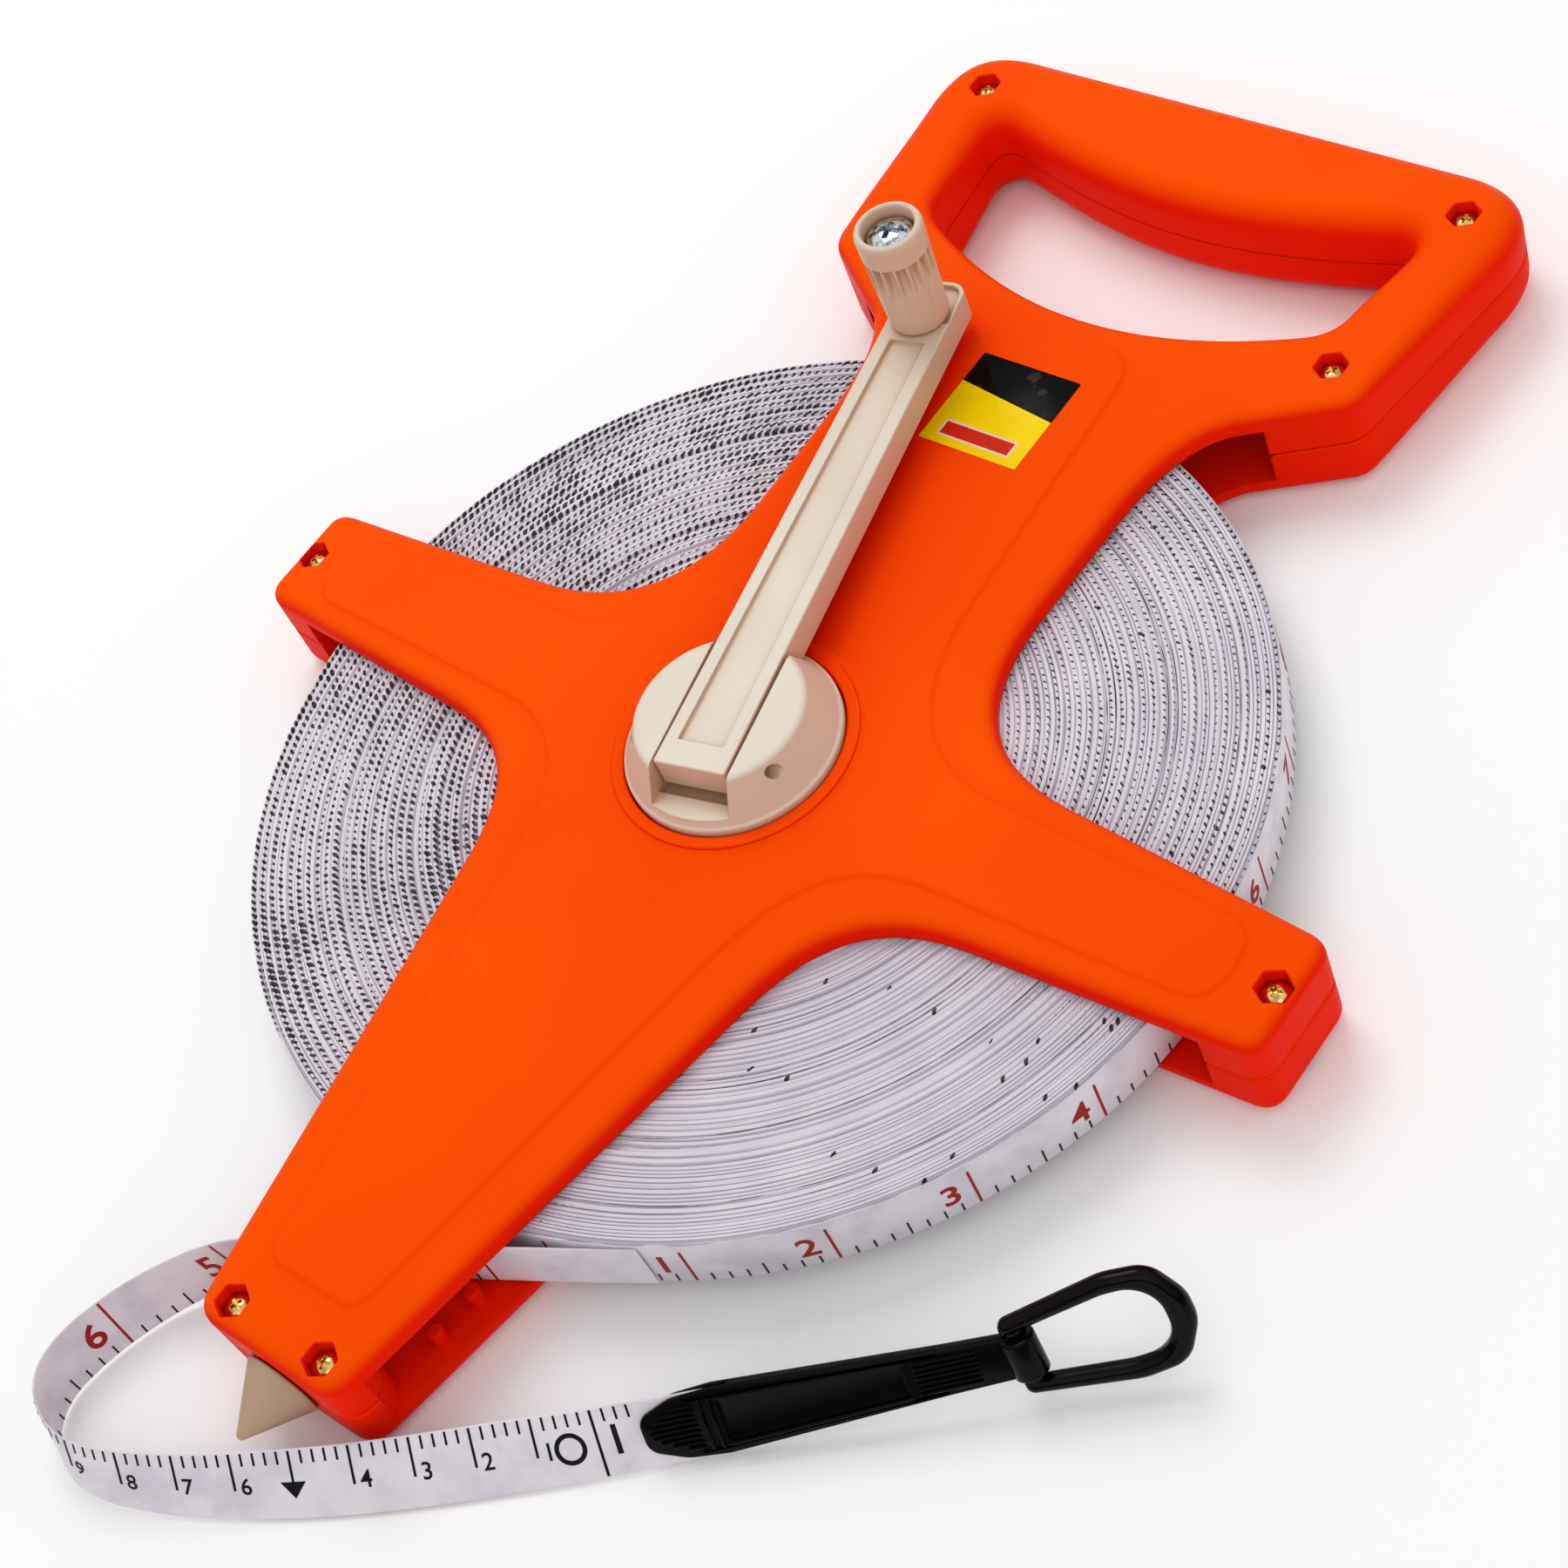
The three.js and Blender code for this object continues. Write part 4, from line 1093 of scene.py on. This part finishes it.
def arm_outline(inset, start, end, corner, near_corner=0.3):
    near, far = 7.8 - inset, 6.8 - inset
    return outline([(-near, start, near_corner), (near, start, near_corner),
                    (far, end, corner), (-far, end, corner)], 9)


def crank_arm():
    end = CRANK_RADIUS + 9.8
    lower = raised(ARM_BOTTOM, (-0.3, 0), (-0.08, 0.08), (0, 0.3))
    body = loft("crank_arm_skin", arm_outline(0, PIVOT[0] - 4.4, end, 3.6, 0.6),
                [*lower, *rounding(0.45, ARM_TOP, 4)])
    seat = turned("tool", raised(ARM_TOP, (0, -3), (5.2, -3), (5.2, -0.15), (5.05, 0), (3, 0), (3, 20.2),
                                 (0, 20.2)), 64)
    moved(seat, 0, CRANK_RADIUS, 0)
    pin = turned("tool", [(0, -20), (1.4, -20), (1.4, 20), (0, 20)], 32, axis="X")
    moved(pin, 0, *PIVOT)
    tray = loft("tool", arm_outline(1.2, CRANK_RADIUS - 1.2, end - 1.2, 2.4),
                [(-0.25, ARM_TOP - 1.1), (0, ARM_TOP - 0.85), *flare(0.3, ARM_TOP + 0.01, 4)])
    body = carve(body, [
        loft("tool", arm_outline(2.9, -8, 93.5, 0.4), raised(ARM_TOP, (-0.12, -0.85), (0, -0.7), (0.04, 1))),
        tray,
        prism(arm_outline(2, 6, 92, 1), ARM_BOTTOM - 1, ARM_TOP - 2.6),
        pin,
    ])
    body = carve(body, [seat], "UNION")
    screw_hole = prism(circle(1.7, 24, (0, CRANK_RADIUS)), ARM_TOP + 8, ARM_TOP + 30)
    body = carve(body, [screw_hole])
    placed(body, CRANK_TURN)
    return settled(body, 34, BEIGE_PLASTIC)


def crank_knob():
    """A tapered grip with sixteen flutes that run out downwards from a sharp ledge below the lip."""
    low, high = ARM_TOP + GAP, KNOB_TOP
    ledge, run_out = high - 6.2, high - 15.0
    wall = raised(low, (5.55, 0), (5.9, 0.12), (6.05, 0.5), (6.25, 1.2))
    slope = [low + 2.6, run_out]
    slope += [run_out + (ledge - run_out) * k / 10 for k in range(1, 10)]
    slope += [ledge - 0.04, ledge + 0.04, ledge + 0.3, high - 4, high - 2.4]

    def wall_radius(z):
        return 6.25 + (7.08 - 6.25) * (z - low - 1.2) / (high - 2.4 - low - 1.2)

    wall += [(wall_radius(z), z) for z in slope]
    wall += raised(high, (7.1, -1.5), (7.02, -0.95), (6.8, -0.45), (6.45, -0.12), (6.1, 0), (5.8, -0.12),
                   (5.55, -0.45), (5.42, -1), (5.4, -5.6), (3.3, -5.6), (3.3, low - high))
    steps, flutes = 320, 16
    verts = []
    for i, a in enumerate(full_turn(steps)):
        across = (i * flutes / steps) % 1
        hollow = ease(0.05, 0.14, across) * (1 - ease(0.6, 0.85, across))
        for r, z in wall:
            depth = 0.0
            if run_out < z < ledge and r > 6:
                depth = 1.75 * hollow * ((z - run_out) / (ledge - run_out)) ** 0.8
            verts.append((*around(r - depth, a), z))
    body = make("crank_knob_skin", verts, swept_faces(steps, len(wall)))
    placed(body, KNOB_PLACE)
    shade(body, True, 40)
    return assign(body, BEIGE_PLASTIC)


# ---- label ----------------------------------------------------------------------------
def label():
    z = DEPTH + 0.6
    shape = rectangle(-12, 78, 12, 102, 0.4)
    body = loft("label_sticker_skin", shape, [(0, z - 0.05), (0, z + 0.1), (-0.06, z + 0.14)])
    return assign(body, LABEL)


def label_paint():
    """A plain sticker of three colours, divided by the place on it."""
    p = Paint("label_print")
    x, y = (p.times(value, 1000) for value in p.split(p.place)[:2])

    def inside(x0, x1, y0, y1):
        return p.times(*(p.times(p.math("GREATER_THAN", value, low), p.math("LESS_THAN", value, high))
                         for value, low, high in ((x, x0, x1), (y, y0, y1))))

    scratch = p.step(p.noise(260, 5), 0.6, 0.68)
    crease = p.noise(55, 4)
    black = p.math("GREATER_THAN", p.plus(y, p.times(x, 0.125)), 92.5)
    dark = p.mix(scratch, (0.002, 0.002, 0.002), (0.035, 0.022, 0.01))
    yellow = p.mix(p.step(crease, 0.4, 0.7), (0.95, 0.66, 0.0), (0.88, 0.58, 0.0))
    color = p.mix(black, yellow, dark)
    color = p.mix(inside(-8.9, 8.9, 79.9, 84.1), color, (0.85, 0.62, 0.5))
    color = p.mix(inside(-8.4, 8.4, 80.4, 83.6), color, (0.62, 0.02, 0.006))
    p.bump(p.plus(crease, p.times(scratch, 0.3)), 0.0001, 0.5)
    return p.finish(color, p.step(crease, 0.3, 0.7, (0.25, 0.38)), Specular_IOR_Level=0.06)


# ---- what is made, in order -----------------------------------------------------------
add_camera()
TAPE = tape_face()
WOUND = wound_tape()
INK_BLACK = ink("ink_black", (0.002, 0.002, 0.002))
INK_RED = ink("ink_red", (0.34, 0.002, 0.004))
INK_RED_DARK = ink("ink_dark_red", (0.03, 0.002, 0.003))
# The shaded colours are painted shade: deep red on the orange, and on the beige a warm tan that also paints
# orange bounce light.
ORANGE_PLASTIC = plastic("orange_moulded", ORANGE, ORANGE_DEEP, rough=(0.34, 0.46), gloss=0.4,
                         tint=(1, 0.36, 0.08), shaded=(0.86, 0.010, 0.0003), wall_shade=0.95, ior=1.1)
BEIGE_PLASTIC = plastic("beige_moulded", BEIGE, BEIGE_DEEP, rough=(0.36, 0.48), edge=0.00035, gloss=0.35,
                        shaded=(0.60, 0.36, 0.22), wall_shade=0.55)
TAUPE = plastic("taupe_moulded", (0.50, 0.34, 0.23), (0.44, 0.29, 0.19), rough=(0.42, 0.55), gloss=0.3)
BLACK = plastic("black_moulded", (0.0015, 0.0015, 0.0015), (0.0025, 0.002, 0.002), rough=(0.14, 0.24), edge=0,
                gloss=0.1)
BLACK_GLOSS = plastic("black_ring", (0.0015, 0.001, 0.001), (0.003, 0.001, 0.001), rough=(0.1, 0.18), edge=0,
                      gloss=0.12)
DRUM = plastic("drum_moulded", (0.62, 0.62, 0.58), (0.56, 0.56, 0.52), rough=(0.4, 0.5))
BRASS = metal("brass_plate", (0.95, 0.72, 0.30), (0.55, 0.36, 0.12))
STEEL = metal("steel_bare", (0.55, 0.55, 0.56), (0.35, 0.34, 0.33), rough=(0.25, 0.4))
# The chrome's dark patch colour is painted dark reflection.
CHROME = metal("chrome_plate", (0.86, 0.88, 0.92), (0.02, 0.04, 0.09), rough=(0.04, 0.12))
LABEL = label_paint()

band, prints = tape_lead()
finished(band, "frame", "tape", "tape_lead")
for piece in prints:
    finished(piece, "frame", "tape")
sleeve = finished(end_sleeve(), "frame", "black_plastic", "end_sleeve")
ring = finished(end_ring(), "ring", "black_plastic", "end_ring")
line = [tuple(p * MM) for p in BAND.points[::6]] + [tuple(BAND.points[-1] * MM)]
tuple(line[0])
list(prints)

finished(front_shell(), "frame", "orange_shell", "front_shell")
finished(rear_shell(), "frame", "orange_shell", "rear_shell")
finished(spike(), "frame", "spike_plastic", "ground_spike")
finished(label(), "frame", "label", "label_sticker")
first_screw = assign(phillips("frame_screw_skin_1", DEPTH - 1.5, 2.75, 2.4, 1.4, 15, 1.6), BRASS)
turns = random.Random(3)
for i, (x, y) in enumerate(SCREWS):
    screw = first_screw
    if i:
        screw = add(f"frame_screw_skin_{i + 1}", first_screw.data)
    screw.location = (x * MM, y * MM, 0)
    screw.rotation_euler = (0, 0, turns.uniform(0, math.pi))
    finished(screw, "frame", "brass_screw", f"frame_screw_{i + 1}")

finished(tape_roll(), "reel", "wound_tape", "tape_roll")
for piece in rim_prints():
    finished(piece, "reel", "wound_tape")
finished(crank_disc(), "reel", "beige_plastic", "crank_disc")
finished(crank_arm(), "crank", "beige_plastic", "crank_arm")
finished(crank_knob(), "knob", "beige_plastic", "crank_knob")
knob_screw = assign(phillips("knob_screw_skin", KNOB_TOP - 1.1, 4.75, 2.7, 1.4, 11, 2.7), CHROME)
placed(knob_screw, KNOB_PLACE)
finished(knob_screw, "crank", "chrome_screw", "knob_screw")
for name, material in (("drum", DRUM), ("tape_anchor_pin", STEEL), ("disc_screw_1", STEEL),
                       ("disc_screw_2", STEEL), ("disc_screw_3", STEEL), ("crank_pin", STEEL),
                       ("knob_washer", CHROME)):
    assign(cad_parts[name], material)

floor_paint = Paint("floor_paper")
floor_paint.bump(floor_paint.noise(900, 2), 0.00002, 0.3)
paper = floor_paint.mix(floor_paint.noise(3, 2), (0.96, 0.96, 0.96), (0.98, 0.98, 0.98))
corners = [(x * FLOOR_HALF, y * FLOOR_HALF, 0) for x, y in ((-1, -1), (1, -1), (1, 1), (-1, 1))]
floor = make("floor", corners, [(0, 1, 2, 3)], False)
floor.location.z = -0.0005
assign(floor, floor_paint.finish(paper, 0.85))

world = bpy.data.worlds.new("studio")
world.use_nodes = True
light_sky(world.node_tree)
bpy.context.scene.world = world
add_light("key", (-0.55, 0.45, 1.15), 0.7, 5.6)
add_light("fill", (0.9, -0.7, 1.0), 1.2, 2.6, (0, -0.05, 0))
bpy.context.scene.view_settings.view_transform = "Standard"
